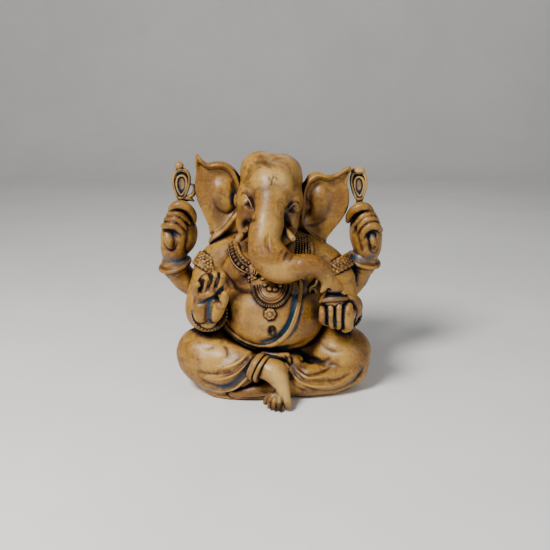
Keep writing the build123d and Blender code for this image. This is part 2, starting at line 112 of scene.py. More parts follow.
# ------------ a sculpt: one piece's distance field
class Sculpt:
    """A distance field in millimetres on a grid, which clay is added to and cut from, and then meshed."""

    all = []

    def __init__(self, node, low, high, voxel=0.8):
        self.node, self.voxel = node, voxel
        self.low = np.array(low, np.float32)
        self.shape = tuple(int(math.ceil((h - l) / voxel)) + 1 for l, h in zip(low, high))
        self.field = np.full(self.shape, FAR, np.float32)
        self.lines = []
        Sculpt.all.append(self)

    def window(self, low, high):
        """The part of the grid between two corners, as slices, and the place of each of its points."""
        lo = np.maximum(np.floor((np.array(low) - self.low) / self.voxel).astype(int), 0)
        hi = np.minimum(np.ceil((np.array(high) - self.low) / self.voxel).astype(int) + 1, self.shape)
        if np.any(hi <= lo):
            return None, None
        part = tuple(slice(a, b) for a, b in zip(lo, hi))
        axes = [self.low[i] + self.voxel * np.arange(lo[i], hi[i], dtype=np.float32) for i in range(3)]
        return part, np.stack(np.meshgrid(*axes, indexing="ij"), -1)

    def join(self, part, d, k, cut):
        """Adds a shape's distances to part of the field, or cuts them from it."""
        old = self.field[part]
        if cut:
            self.field[part] = -smooth_min(-old, d, k)
        else:
            self.field[part] = smooth_min(old, d, k)

    def egg(self, centre, radii, turn=(0, 0, 0), k=3.0, cut=False, power=2.0):
        """Adds or cuts an ellipsoid. A power above 2 squares its shoulders."""
        centre, radii = np.array(centre, np.float32), np.array(radii, np.float32)
        reach = max(radii) + k + 6
        part, grid = self.window(centre - reach, centre + reach)
        if part is None:
            return
        p = (grid - centre) @ rotation(turn)
        q = np.abs(p / radii)
        if power == 2.0:
            k0 = np.sqrt((q * q).sum(-1))
        else:
            k0 = (q**power).sum(-1) ** (1 / power)
        k1 = np.sqrt(((p / radii**2) ** 2).sum(-1)) + 1e-6
        self.join(part, k0 * (k0 - 1) / k1, k, cut)

    def tube(self, points, k=3.0, cut=False, flat=None, ready=False):
        """Adds or cuts a limb through rows of X, Y, Z, radius. flat is (axis, factor): thinner that way."""
        line = np.array(points, np.float32) if ready else spline(points, 1.5)
        reach = line[:, 3].max() + k + 6
        part, grid = self.window(line[:, :3].min(0) - reach, line[:, :3].max(0) + reach)
        if part is None:
            return
        squeeze = np.eye(3, dtype=np.float32)
        if flat is not None:
            axis = np.array(flat[0], np.float32)
            axis /= np.linalg.norm(axis)
            squeeze += (1 / flat[1] - 1) * np.outer(axis, axis).astype(np.float32)
        shape = grid.shape[:3]
        distance = np.full(shape, 1e3, np.float32)
        pts = grid @ squeeze
        bent = line.copy()
        bent[:, :3] = line[:, :3] @ squeeze
        scale = 1.0 if flat is None else flat[1] ** 0.5
        for a, b in zip(bent[:-1], bent[1:]):
            ab = b[:3] - a[:3]
            length = float(ab @ ab) + 1e-9
            rel = pts - a[:3]
            along = rel @ ab
            t = np.clip(along / length, 0, 1)
            d = np.sqrt(np.maximum((rel * rel).sum(-1) - 2 * t * along + t * t * length, 0))
            np.minimum(distance, (d - (a[3] + t * (b[3] - a[3]))) * scale, out=distance)
        self.join(part, distance, k, cut)

    def crease(self, points, depth, width, step=0.8, closed=False):
        """Presses a groove of this depth and width along a line, or raises a ridge if depth is negative."""
        rows = [(*p[:3], p[3] if len(p) > 3 else 1.0) for p in points]
        line = loop(rows, step) if closed else spline(rows, step)
        steps = 0.6 * np.eye(3, dtype=np.float32)
        slope = np.stack([self.at(line[:, :3] + e) - self.at(line[:, :3] - e) for e in steps], 1)
        slope /= np.linalg.norm(slope, axis=1, keepdims=True) + 1e-6
        floor = line.copy()
        floor[:, :3] -= 0.9 * depth * line[:, 3:4] * slope
        self.lines.append((floor.astype(np.float32), depth, width))
        reach = 2.4 * width
        part, grid = self.window(line[:, :3].min(0) - reach, line[:, :3].max(0) + reach)
        if part is None:
            return
        near = np.abs(self.field[part]) < 5 + abs(depth)
        pts = grid[near]
        if not len(pts):
            return
        d, gain = curve_distance(pts, line)
        self.field[part][near] += depth * gain[:, 0] * np.exp(-((d / width) ** 2))

    def press(self, rows, depth, width, **more):
        """A crease along (X, Z) or (X, Z, gain) rows on this sculpt's own foremost surface."""
        self.crease(skin([self], rows), depth, width, **more)

    def ring(self, centre, axis, radius, thick, k=0.6, width=None):
        """Adds a ring about an axis: a torus, or a band if a width along the axis is given."""
        centre, axis = np.array(centre, np.float32), np.array(axis, np.float32)
        axis /= np.linalg.norm(axis)
        reach = radius + thick + k + 4 + (width or 0)
        part, grid = self.window(centre - reach, centre + reach)
        if part is None:
            return
        rel = grid - centre
        along = rel @ axis
        flat = rel - along[..., None] * axis
        out = np.sqrt((flat * flat).sum(-1))
        if width is None:
            d = np.sqrt((out - radius) ** 2 + along**2) - thick
        else:
            a, b = np.abs(out - radius) - thick * 0.5, np.abs(along) - (width - thick) * 0.5
            d = both(a, b, thick * 0.5)
        self.join(part, d.astype(np.float32), k, False)

    def slab(self, point, normal, k=1.0):
        """Cuts away everything on the normal's side of the plane."""
        point, normal = np.array(point, np.float32), np.array(normal, np.float32)
        normal /= np.linalg.norm(normal)
        part, grid = self.window(self.low, self.low + np.array(self.shape) * self.voxel)
        self.join(part, -((grid - point) @ normal), k, True)

    def roughen(self, amount, size, seed=0):
        """Adds slow lumps, so that the surface looks hand-modelled."""
        n = [max(2, int(s * self.voxel / size) + 3) for s in self.shape]
        rng = np.random.default_rng(seed + len(self.node))
        coarse = rng.standard_normal(n).astype(np.float32)
        idx = [np.linspace(0.5, m - 1.5, s) for m, s in zip(n, self.shape)]
        for axis in range(3):
            i0 = np.floor(idx[axis]).astype(int)
            f = (idx[axis] - i0).astype(np.float32)
            f = f * f * (3 - 2 * f)
            shape = [1, 1, 1]
            shape[axis] = -1
            f = f.reshape(shape)
            i1 = np.minimum(i0 + 1, coarse.shape[axis] - 1)
            coarse = np.take(coarse, i0, axis) * (1 - f) + np.take(coarse, i1, axis) * f
        self.field += amount * coarse

    def at(self, points):
        """The field at points, by trilinear interpolation. Far outside it is a large distance."""
        q = (points - self.low) / self.voxel
        top = np.array(self.shape) - 1.001
        inside = np.all((q >= 0) & (q <= top), axis=1)
        out = np.full(len(points), FAR, np.float32)
        if not inside.any():
            return out
        g = q[inside]
        i = g.astype(int)
        f = g - i
        value = 0
        for dx in (0, 1):
            for dy in (0, 1):
                for dz in (0, 1):
                    corner = (dx, dy, dz)
                    share = [f[:, n] if corner[n] else 1 - f[:, n] for n in range(3)]
                    value = value + share[0] * share[1] * share[2] * self.field[tuple((i + corner).T)]
        out[inside] = value
        return out

    def mesh(self):
        """Meshes the field's zero surface and finds its normals."""
        field = np.pad(self.field, 1, constant_values=5.0)
        grid = vdb.FloatGrid(background=5.0)
        grid.copyFromArray(np.ascontiguousarray(field))
        points, quads = grid.convertToQuads(isovalue=0.0)
        points = (points - 1) * self.voxel + self.low
        self.points = points.astype(np.float32)
        self.quads = quads
        a = self.points[self.quads[:, 1]] - self.points[self.quads[:, 0]]
        b = self.points[self.quads[:, 3]] - self.points[self.quads[:, 0]]
        face = np.cross(a, b)
        normal = np.zeros_like(self.points)
        for c in range(4):
            np.add.at(normal, self.quads[:, c], face)
        normal /= np.linalg.norm(normal, axis=1, keepdims=True) + 1e-9
        self.normal = normal


# ------------ shared helpers for the sculpts
def box_mm(node, margin=6.0):
    """A CAD node's box in millimetres, grown by a margin."""
    low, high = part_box(node)
    return [v / MM - margin for v in low], [v / MM + margin for v in high]


def start(node, voxel=0.8, margin=6.0, low=None, high=None):
    """A new sculpt on a grid over the CAD node's box, cut or stretched where low or high give a number."""
    a, b = box_mm(node, margin)
    a = [v if low is None or low[i] is None else low[i] for i, v in enumerate(a)]
    b = [v if high is None or high[i] is None else high[i] for i, v in enumerate(b)]
    return Sculpt(node, a, b, voxel)


def front(sculpts, x, z, out=0.0):
    """The point on the foremost surface of these sculpts at this X and Z, moved out by this much."""
    best = None
    for s in sculpts:
        ix, iz = (x - s.low[0]) / s.voxel, (z - s.low[2]) / s.voxel
        if not (0 <= ix < s.shape[0] - 1 and 0 <= iz < s.shape[2] - 1):
            continue
        i, j, fx, fz = int(ix), int(iz), ix % 1, iz % 1
        f = s.field
        lower = f[i, :, j] * (1 - fx) + f[i + 1, :, j] * fx
        upper = f[i, :, j + 1] * (1 - fx) + f[i + 1, :, j + 1] * fx
        line = lower * (1 - fz) + upper * fz
        hit = np.nonzero(line < 0)[0]
        if len(hit) and hit[0] > 0:
            n = hit[0]
            y = s.low[1] + s.voxel * (n - 1 + line[n - 1] / (line[n - 1] - line[n]))
            best = y if best is None else min(best, y)
    return None if best is None else (x, best - out, z)


def skin(sculpts, points, out=0.0):
    """Puts a line of (X, Z) or (X, Z, gain) rows onto the foremost surface."""
    found = []
    for p in points:
        spot = front(sculpts, p[0], p[1], out)
        if spot is not None:
            found.append((*spot, *p[2:]))
    return found


HEAD_TILT = 6.5
TILT = (0, HEAD_TILT, 0)
HEAD = (-2.5, -6.0, 162.0)


def on_head(x, y, z, *rest):
    """A point in the head's own upright frame, leaning with the head."""
    a = math.radians(HEAD_TILT)
    across = x * math.cos(a) + z * math.sin(a)
    up = z * math.cos(a) - x * math.sin(a)
    return (HEAD[0] + across, HEAD[1] + y, HEAD[2] + up, *rest)


# ------------ torso
torso = start("torso", 0.85)
torso.egg((-1, -14.5, 69.5), (44.5, 44.5, 35), k=8)
torso.egg((3, -24, 58), (38, 32, 24), k=10)
torso.egg((-41, -6, 84), (10, 15, 24), k=8)
torso.egg((42, -4, 82), (9, 14, 22), k=8)
torso.egg((-1, 0, 104), (44, 28, 25), k=12)
torso.egg((-24, -20, 104), (16, 15, 15), k=6)
torso.egg((24, -20, 101), (16, 15, 15), k=6)
torso.egg((-1, 4, 119), (37, 20, 15), k=8)
torso.egg((0, 12, 78), (40, 22, 40), k=10)
torso.tube([(-31, 2, 110, 16), (-45, 3, 106, 16), (-54, 1, 98, 14), (-57, -1, 92, 13)], k=6)
torso.tube([(29, 2, 110, 16), (43, 3, 103, 16), (54, 0, 95, 14), (58, -2, 89, 13)], k=6)
torso.roughen(0.28, 14)
navel = front([torso], -0.6, 61.0)
torso.egg(navel, (2.6, 5, 4.2), k=2.5, cut=True)
torso.press([(-5, 65.5, 0), (-3, 67), (1, 67), (4, 65, 0)], -0.7, 1.6)
for side, drop in ((-1, 0), (1, -3)):
    torso.press([
        (side * 39, 99 + drop, 0.3), (side * 35, 93 + drop, 1.2), (side * 27, 89.5 + drop, 1.1),
        (side * 17, 91 + drop, 0.9), (side * 9, 95 + drop, 0.2)], 2.2, 2.4)
torso.press([(-36, 52, 0), (-22, 46, 1), (0, 42.5, 1), (22, 46, 1), (36, 53, 0)], 0.8, 3)
torso.egg(front([torso], -24, 103), (2.2, 2.2, 2.2), k=2)
torso.egg(front([torso], 25, 99), (2.2, 2.2, 2.2), k=2)
torso.crease([(0, 26, 118), (0.5, 36, 100), (0, 36, 82), (0, 32, 66)], 2.2, 5)
for side in (-1, 1):
    torso.crease([
        (side * 12, 28, 112, 0), (side * 22, 31, 104, 1), (side * 26, 29, 92, 1), (side * 20, 31, 82, 0)
    ], 1.2, 5)
    torso.crease([
        (side * 10, 33, 60, 0.2), (side * 26, 27, 58, 1), (side * 38, 12, 60, 1), (side * 42, -4, 62, 0)
    ], 1.1, 2.4)

# ------------ hips, crossed legs and the dhoti's folds
seat = start("seat_and_legs", 0.85, low=(None, -76, -1))
seat.egg((0, 8, 22), (59, 36, 25), k=8)
seat.tube([(-24, -6, 30, 23), (-46, -18, 31, 22), (-62, -24, 30, 19)], k=8)
seat.egg((-56, -27, 30), (25, 25, 21.5), (0, 12, 0), k=8)
seat.tube([(-62, -33, 21, 14.5), (-48, -45, 18, 14.5), (-32, -54, 20.5, 12.4), (-19, -58, 28, 9.8)], k=6)
seat.tube([(-58, -34, 31, 19), (-45, -42, 31, 17), (-31, -48.5, 31, 13), (-20.5, -53.5, 32, 9.6)], k=8)
seat.tube([(24, -6, 30, 23), (48, -16, 31, 22), (64, -22, 30, 19)], k=8)
seat.egg((57, -23, 29), (25.4, 25, 22.5), (0, -8, 0), k=8)
seat.tube([(66, -32, 18, 15), (46, -42, 14, 14), (26, -48, 13, 12.5), (12, -50, 13, 11)], k=6)
seat.egg((4, -42, 26), (24, 14, 11), k=6)
seat.tube([
    (-57, -36, 6, 6), (-45, -51, 4, 5.5), (-28, -55, 3, 4.5), (-8, -54, 3, 4.5), (10, -50, 3, 4.5),
    (34, -42, 3.5, 5), (60, -36, 4.5, 6)], k=3)
seat.roughen(0.35, 12, 3)
FOLDS = [
    # depth, width, then (X, Z, gain) along the fold, on the right leg
    (-1.6, 1.6, [(-19.6, 41.6, 0.6), (-25.6, 36.8, 1), (-33.4, 32.6, 1), (-42, 30, 0.6), (-52, 30, 0)]),
    (3.0, 1.7, [
        (-19.4, 39, 0.7), (-26.2, 33.4, 1), (-35.5, 27, 1), (-47, 24.6, 0.9), (-58, 24, 0.3), (-66, 25, 0)]),
    (-1.6, 1.6, [(-18, 38.4, 0.6), (-24.4, 31.6, 1), (-32.2, 25.4, 1), (-44, 20.6, 0.9), (-56, 19.4, 0.3)]),
    (3.2, 2.2, [
        (-17, 37.6, 0.6), (-20.6, 33, 1), (-25, 26.6, 1), (-30.6, 20.4, 1), (-36, 15.6, 1), (-45, 13.6, 0.8),
        (-55, 16, 0.4), (-64, 20, 0)]),
    (2.0, 1.6, [(-18.4, 31.6, 0.3), (-22, 26, 1), (-27.4, 20, 1), (-32.6, 15.6, 0.8), (-38, 13, 0)]),
    (-1.9, 1.8, [
        (-14.8, 36, 0.4), (-17, 30, 1), (-23.4, 21.2, 1), (-32.6, 12.6, 1), (-45, 8.2, 0.9), (-56, 10.4, 0.3)
    ]),
    (3.2, 1.8, [
        (-13, 27, 0.8), (-16.8, 21.6, 1), (-25.4, 14.2, 1), (-32.9, 7.8, 1), (-40.9, 3.8, 0.8),
        (-49, 3.6, 0.3)]),
    (0.8, 2.6, [(-42, 47, 0), (-37, 42, 1), (-38, 38, 0.8), (-44, 35, 0)]),
    (0.8, 2.4, [(-46, 47, 0), (-52, 44, 1), (-60, 44, 0)]),
    # on the left leg, curving about the shin
    (2.8, 1.7, [
        (14.8, 34, 0.6), (16.4, 31, 1), (21.6, 25.6, 1), (30, 22.6, 1), (42, 24, 0.8), (49, 27.6, 0.3)]),
    (-1.6, 1.7, [(15.4, 31, 0.5), (19.6, 25, 1), (27.6, 20.2, 1), (38, 20, 0.8), (50, 22, 0.3)]),
    (3.0, 1.8, [
        (14.2, 30.4, 0.8), (18.6, 23.2, 1), (26.4, 17.6, 1), (38, 16.8, 1), (53, 16.4, 0.8), (64, 20, 0.3)]),
    (-1.6, 2.0, [
        (14, 26.4, 0.5), (18.6, 19.6, 1), (27, 14.6, 1), (40, 12.4, 0.9), (56, 12.6, 0.5), (68, 18, 0)]),
    (3.0, 1.7, [
        (13.6, 24, 0.8), (17.6, 18.6, 1), (25, 13.8, 1), (33, 9.6, 0.9), (46, 6.6, 0.8), (60, 8.6, 0.5),
        (70, 14, 0.4), (76, 24, 0)]),
    (2.2, 1.4, [(13.6, 20, 0.8), (16.6, 16.6, 1), (22, 11.6, 1), (28, 9, 0.3)]),
    (1.8, 1.7, [(22, 33, 0.3), (25, 30, 1), (31, 27.6, 1), (40, 28.6, 0.9), (48, 33, 0.2)]),
    (1.4, 1.6, [(60, 8, 0.3), (67, 11.5, 1), (73, 18, 1), (77, 26, 0)]),
    (0.9, 2.6, [(36, 44, 0), (44, 40, 1), (52, 38, 1), (60, 41, 0)]),
    # cloth stretched under the belly
    (1.6, 1.5, [(-16, 40.5, 0.6), (-6, 37.5, 1), (6, 37.2, 1), (17, 39.5, 0.6)]),
    (1.4, 1.4, [(-4, 33.5, 0.5), (4, 31.8, 1), (12, 33.8, 0.4)]),
]
for depth, width, rows in FOLDS:
    seat.press(rows, depth, width)
for side in (-1, 1):  # folds at the back, where the cloth is pulled round the hips
    for z in (10, 19, 29, 38):
        seat.crease([
            (side * 8, 43 - abs(z - 22) * 0.25, z - 3, 0), (side * 28, 39 - abs(z - 22) * 0.3, z, 1),
            (side * 48, 25, z + 2, 1), (side * 62, 6, z + 1, 0.3)], 1.1, 2.2)
seat.slab((0, 0, 1.25), (0, 0, -1), k=0.8)

# ------------ head and trunk
head = start("head", 0.75, high=(60, 36, 204), low=(-46, -82, 84))
head.egg(on_head(0, 3, 7), (26, 31, 26), TILT, k=8)
for side in (-1, 1):
    head.egg(on_head(side * 9.2 - 1.4, 1, 20.6 - 0.5 * side), (16 - 0.4 * side, 21, 15.6), TILT, k=6)
    head.egg(on_head(side * 10, 14, 14), (15, 19, 19), TILT, k=6)
head.egg(on_head(0, -20, 13), (17.5, 14, 16), TILT, k=9)
head.egg(on_head(0, -26, -4), (13.5, 12, 16), TILT, k=8)
for side in (-1, 1):
    head.egg(on_head(side * 18, -14, -1), (9.5, 17, 12), TILT, k=7)
    head.egg(on_head(side * 15.5, -13, -19), (10.5, 15, 15.5), TILT, k=7)
    head.egg(on_head(side * 12.5, -19, -29), (8.5, 9.5, 8), TILT, k=5)
head.egg(on_head(1, -18, -34), (9, 11, 7), TILT, k=5)
head.egg(on_head(1, 10, -24), (17, 17, 17), TILT, k=8)
TRUNK = [
    (*on_head(0.4, -30, 0), 12.4), (*on_head(-0.2, -36, -9), 13),
    (-5.6, -47, 143, 13.6), (-6.8, -51, 133, 13.4),
    (-4.6, -54.5, 121.5, 13.8), (4.4, -57, 113.8, 12.8), (16, -60, 114.2, 10.6), (26, -61, 116.6, 8.9),
    (34.4, -60.5, 115, 7.9), (41.2, -58.8, 108, 6.7), (45.6, -57.4, 101.5, 5.9), (47.6, -56.6, 98, 5.8),
]
head.tube(TRUNK, k=7)
head.egg((4, -55.5, 124), (7.6, 8, 8), k=8)
head.egg((-18.5, -33, 152), (6.6, 7.5, 8), k=8)
head.egg((12.5, -31, 147), (5, 6.5, 8), k=8)
head.tube([(44, -58, 102, 4.6), (41.2, -59.6, 97.6, 3.0), (38.6, -60.4, 94.6, 1.3)], k=2.5)
head.tube([(48, -57.6, 100, 5.2), (51, -58.4, 97.4, 4.0), (54, -58.6, 96.2, 2.6)], k=2.5)
head.tube([(44, -62, 92, 1.6), (44.6, -61, 96, 1.4), (44, -60, 98.6, 0.6)], k=1, cut=True)
head.crease([(45, -64.6, 101, 0.2), (44, -64.4, 97.6, 1), (43, -63.4, 94.6, 1)], 1.2, 1.3)
head.roughen(0.25, 11, 5)
# hollows beside the trunk root, where the mouth is
for depth, width, rows in (
    (4.2, 2.6, [(-21.6, 147, 0.5), (-21.4, 144.6, 1), (-22.4, 142.4, 1), (-24, 140.6, 0.4)]),
    (4.2, 2.4, [(9.6, 148, 0.5), (10.6, 143.6, 1), (13.6, 139, 1), (16, 135.6, 0.6)]),
    (1.0, 2.2, [(-13, 155, 0), (-15, 151, 1), (-19, 148, 0.6)]),
    (1.2, 2.2, [(8.5, 154, 0), (9.4, 150, 1), (10.5, 146, 1)]),
    # upright grooves down the front of the trunk
    (0.8, 0.8, [(-6, 141, 0), (-6, 137, 1), (-6, 132.6, 0.6), (-5, 129, 0)]),
    (1.3, 0.85, [(-3.8, 143.6, 0), (-3.9, 139, 1), (-3.8, 132.6, 1), (-2.6, 128, 0)]),
    (0.6, 0.8, [(-9.8, 134, 0), (-9, 129, 1), (-7, 124.5, 0)]),
    (0.5, 0.8, [(-1.6, 141, 0), (-1.2, 137, 1), (0.2, 133, 0)]),
    # creases inside the trunk's bend
    (0.6, 0.9, [(8.4, 130, 0.6), (6, 127, 1), (4.4, 123.5, 0.5), (4, 120, 0)]),
    (0.6, 0.9, [(11.6, 127, 0.8), (9.4, 124.5, 1), (8, 121, 0)]),
    (0.4, 0.9, [(15.6, 124.8, 0.8), (14, 122.6, 1), (13, 119.6, 0)]),
    (0.25, 1.0, [(20, 123.2, 0.6), (19.2, 119.8, 1), (19.4, 116.8, 0)]),
    # the mark on the forehead
    (0.9, 0.6, [(-2.8, 182.8, 0.6), (-2.2, 181.4, 1), (-1.6, 179.8, 0.4)]),
    (1.1, 0.6, [(0.2, 183.4, 0.6), (-0.2, 181, 1), (-0.7, 178.4, 0.8), (-1.2, 177, 0.4)]),
    (0.9, 0.6, [(2.2, 182.4, 0.4), (4.4, 180.4, 1)]),
):
    head.press(rows, depth, width)
# eyes: the socket, the ball with its ringed iris, the lids and the deep crease above
EYES = (
    # centre, turn, then the crease, the upper lid, the lower lid and the inner corner
    (
        (-21.2, 162.6), (0, -32, 20),
        [(-26, 168.4, 0.8), (-23.1, 169.8, 1), (-20.4, 168.1, 1.1),
         (-18, 164.5, 1.2), (-16, 160.1, 1.2), (-15.2, 157.2, 0.8)],
        [(-25.2, 167.4, 0.7), (-22.6, 168, 1), (-20, 165.4, 1.1), (-17.8, 161.7, 1.1), (-16.4, 158.6, 0.7)],
        [(-25.2, 166.1, 0.7), (-24.6, 162.3, 1), (-22.6, 158.8, 1), (-19.6, 156.6, 1), (-16.6, 156.8, 0.7)],
        (-18.8, 160.4),
    ),
    (
        (17.4, 156.8), (0, 30, -18),
        [(9.4, 151.6, 0.7), (10.1, 156.4, 1), (13.3, 159.6, 1.2),
         (16.7, 162.3, 1.2), (19.2, 162.6, 1), (21.4, 161, 0.5)],
        [(12.2, 156.2, 0.7), (13.9, 158.6, 1), (16.4, 160.6, 1), (19.1, 160.5, 1), (21.5, 158.2, 0.8)],
        [(12, 153.6, 0.7), (15.2, 152.4, 1), (18.2, 153.6, 1), (20.2, 156, 0.7)],
        (13.4, 156),
    ),
)
for (x, z), turn, crease, lid, lower, corner in EYES:
    spot = front([head], x, z)
    crease, lid, lower = (skin([head], rows) for rows in (crease, lid, lower))
    head.egg((spot[0], spot[1] - 2.6, spot[2]), (5.0, 4.0, 3.8), turn, k=2, cut=True)
    head.crease(crease, 2.3, 1.2)
    head.egg((spot[0], spot[1] + 3.0, spot[2]), (4.4, 3.7, 3.3), turn, k=0.8)
    head.tube([(p[0], p[1] + 0.8, p[2], 0.75 * p[3] + 0.1) for p in lid], k=0.7)
    head.tube([(p[0], p[1] + 0.8, p[2], 0.65 * p[3] + 0.1) for p in lower], k=0.7)
    eye = front([head], x, z)
    ring = [(x + 1.6 * math.cos(a), z + 1.6 * math.sin(a)) for a in np.linspace(0, 2 * math.pi, 9)[:-1]]
    head.press(ring, 0.6, 0.5, step=0.4, closed=True)
    head.egg((eye[0], eye[1] - 0.2, eye[2]), (0.5, 0.8, 0.5), k=0.5, cut=True)
    hollow_spot = front([head], *corner)
    head.egg((hollow_spot[0], hollow_spot[1] - 0.3, hollow_spot[2]), (0.8, 1.2, 0.7), turn, k=0.6, cut=True)


# ------------ ears: dished sheets with a rolled rim
def ear_sheet(node, outline, rim, mounds, low_x=None, high_x=None):
    """A sheet inside the outline in X and Z, dished towards the front, with its rim rolled forward."""
    s = start(node, 0.75, low=(low_x, -10, None), high=(high_x, 18, None))
    xs = s.low[0] + s.voxel * np.arange(s.shape[0], dtype=np.float32)
    zs = s.low[2] + s.voxel * np.arange(s.shape[2], dtype=np.float32)
    gx, gz = np.meshgrid(xs, zs, indexing="ij")
    flat = np.stack([gx.ravel(), np.zeros(gx.size, np.float32), gz.ravel()], 1)
    ring = loop([(x, 0, z) for x, z in outline], 1.2)
    edge, _ = curve_distance(flat, ring)
    inside = np.zeros(len(flat), bool)
    for a, b in zip(ring[:-1], ring[1:]):
        cross = (a[2] > flat[:, 2]) != (b[2] > flat[:, 2])
        at = a[0] + (flat[:, 2] - a[2]) * (b[0] - a[0]) / (b[2] - a[2] + 1e-9)
        inside ^= cross & (flat[:, 0] < at)
    edge = np.where(inside, -edge, edge).reshape(gx.shape)
    rolled, gain = curve_distance(flat, spline([(x, 0, z, g) for x, z, g in rim], 1.2))
    rolled, gain = rolled.reshape(gx.shape), gain[:, 0].reshape(gx.shape)
    middle = 5.0 + 2.4 * np.clip(-edge / 12, 0, 1) ** 0.7
    roll = gain * np.exp(-((rolled / 3.4) ** 2))
    middle -= 4.2 * roll
    thick = 1.7 + 1.5 * roll
    for x, z, rx, rz, tilt, height, power in mounds:
        a = math.radians(tilt)
        u = ((gx - x) * math.cos(a) + (gz - z) * math.sin(a)) / rx
        v = (-(gx - x) * math.sin(a) + (gz - z) * math.cos(a)) / rz
        middle -= height * np.exp(-((u * u + v * v) ** power))
    y = s.low[1] + s.voxel * np.arange(s.shape[1], dtype=np.float32)
    a = np.abs(y[None, :, None] - middle[:, None, :]) - thick[:, None, :] + 1.2
    b = np.broadcast_to(edge[:, None, :] + 1.2, a.shape)
    s.field = np.ascontiguousarray(both(a, b, 1.2).astype(np.float32))
    s.roughen(0.15, 9, 2)
    return s


RIGHT_EAR = [
    (-22, 170), (-27.6, 177.5), (-33.2, 184.9), (-39.6, 189.4), (-47.7, 190.4), (-55, 189.2), (-60, 192.6),
    (-64.2, 196.8), (-65.4, 190), (-65.2, 181), (-66.3, 170), (-65, 158), (-60.2, 146.4), (-55.8, 134.7),
    (-54.6, 126), (-55.2, 119.5), (-46, 120.6), (-36, 123), (-26, 127), (-20, 140)]
LEFT_EAR = [
    (20, 166), (26.5, 173.2), (30.8, 179.6), (38, 181.6), (46.2, 179.4), (54.2, 180.8), (59.8, 184.6),
    (64.2, 186.6), (65.9, 184), (64.2, 177.7), (63.2, 171), (64.9, 162.9), (64.6, 151.4), (59.4, 140.6),
    (52.2, 131.3), (46.6, 123.5), (46, 117.4), (38.4, 118.6), (30, 120.6), (21, 125), (17, 140)]
right_ear = ear_sheet(
    "right_ear", RIGHT_EAR,
    [
        (-65, 180, 0), (-64.2, 191, 0.7), (-62.6, 194.4, 1), (-59, 190, 1), (-54, 186.8, 1.1),
        (-46, 187.4, 1.2), (-39, 186.2, 1.2), (-33, 181, 1.2), (-28.5, 173, 1), (-27.6, 164, 0.7),
        (-27.8, 150, 0.5), (-34, 140.6, 0.8), (-43, 130.6, 1.0), (-51, 124.6, 1.0), (-54.6, 121.6, 0.6),
        (-54.6, 128, 0)],
    [(-42, 160.5, 9.5, 14.5, 8, 4.6, 2.2), (-53, 158, 7, 22, -4, 1.6, 1.4), (-47, 134, 7, 4, 42, 1.2, 1.5)],
    high_x=-16,
)
left_ear = ear_sheet(
    "left_ear", LEFT_EAR,
    [
        (64.4, 172, 0), (64.9, 181, 0.5), (63.6, 184.8, 1), (59, 182.2, 1), (53, 178.4, 1.1),
        (46, 177.4, 1.2), (38, 178.6, 1.2), (31.6, 175, 1.2), (27.4, 168, 1), (26.2, 158, 0.8),
        (25.6, 146, 0.7), (28, 134, 0.8), (34, 126.6, 0.9), (41, 121.6, 1), (45.4, 118.6, 0.7), (46.2, 124, 0)
    ],
    [(39.5, 154, 8.6, 14.5, -10, 4.6, 2.2), (50, 154, 6, 18, -14, 2.0, 1.4),
     (57, 156, 5, 18, -12, 1.0, 1.4), (39, 130.5, 6, 4, -40, 1.2, 1.5)],
    low_x=15, high_x=72.5,
)
for ear, depth, width, rows in (
    (right_ear, 2.3, 1.9, [
        (-36, 177, 0.3), (-33.4, 169, 1), (-31.6, 159, 1), (-32.4, 150.6, 1), (-38, 145.4, 1),
        (-45, 146.6, 0.8), (-50.4, 153, 0.3)]),
    (right_ear, 1.3, 1.5, [
        (-63.4, 189, 0.3), (-59.4, 185.6, 1), (-54, 182.8, 1), (-46.4, 183.2, 1), (-39.4, 181.4, 1),
        (-35, 176, 0.8)]),
    (right_ear, 1.4, 1.4, [(-53, 128, 0.5), (-44, 134.4, 1), (-37, 142, 0.8), (-33, 148, 0.3)]),
    (left_ear, 2.3, 1.8, [
        (36, 174.4, 0.3), (31.4, 168.7, 1), (29.2, 161.8, 1), (31.2, 155.3, 1.1), (32, 151.4, 1),
        (29.4, 145.4, 1), (27.4, 140, 1), (29, 136.2, 1), (37, 135.4, 0.8), (44, 139, 0.3)]),
    (left_ear, 1.3, 1.5, [
        (62.6, 181, 0.3), (58, 178.2, 1), (52.6, 174.6, 1), (46, 173.2, 1), (39.4, 174.2, 1), (35, 171.6, 0.8)
    ]),
    (left_ear, 1.2, 1.4, [(29, 134, 0.4), (34, 129.6, 1), (41, 124.8, 1), (45, 122, 0.4)]),
):
    ear.press(rows, depth, width)
head.egg((-31, -2, 158.2), (2.3, 3.6, 5.6), k=1.5)

# ------------ tusks: the right one whole, the left one a stub
right_tusk = start("right_tusk", 0.45, margin=5)
right_tusk.tube([
    (-16, -33, 143, 3.6), (-20.5, -38, 139.4, 3.7), (-24.6, -43, 136.4, 3.8), (-27.4, -46, 134.2, 3.0)], k=1)
right_tusk.tube([(-14.6, -38, 142.6, 4.2), (-19.4, -41.4, 140.8, 3.4)], k=1.2)
right_tusk.press([(-23.6, 139.6), (-22, 137.4), (-22, 134.6)], 0.7, 0.6)
left_tusk = start("left_tusk", 0.45, margin=6)
left_tusk.tube([
    (7, -38, 142, 2.4), (10.4, -43, 140, 2.6), (13.4, -47.4, 136.8, 2.9), (15.4, -50.4, 135.6, 2.7)], k=1)
left_tusk.egg((17.6, -53.8, 135.4), (2.6, 2.2, 2.6), k=0.8, cut=True)

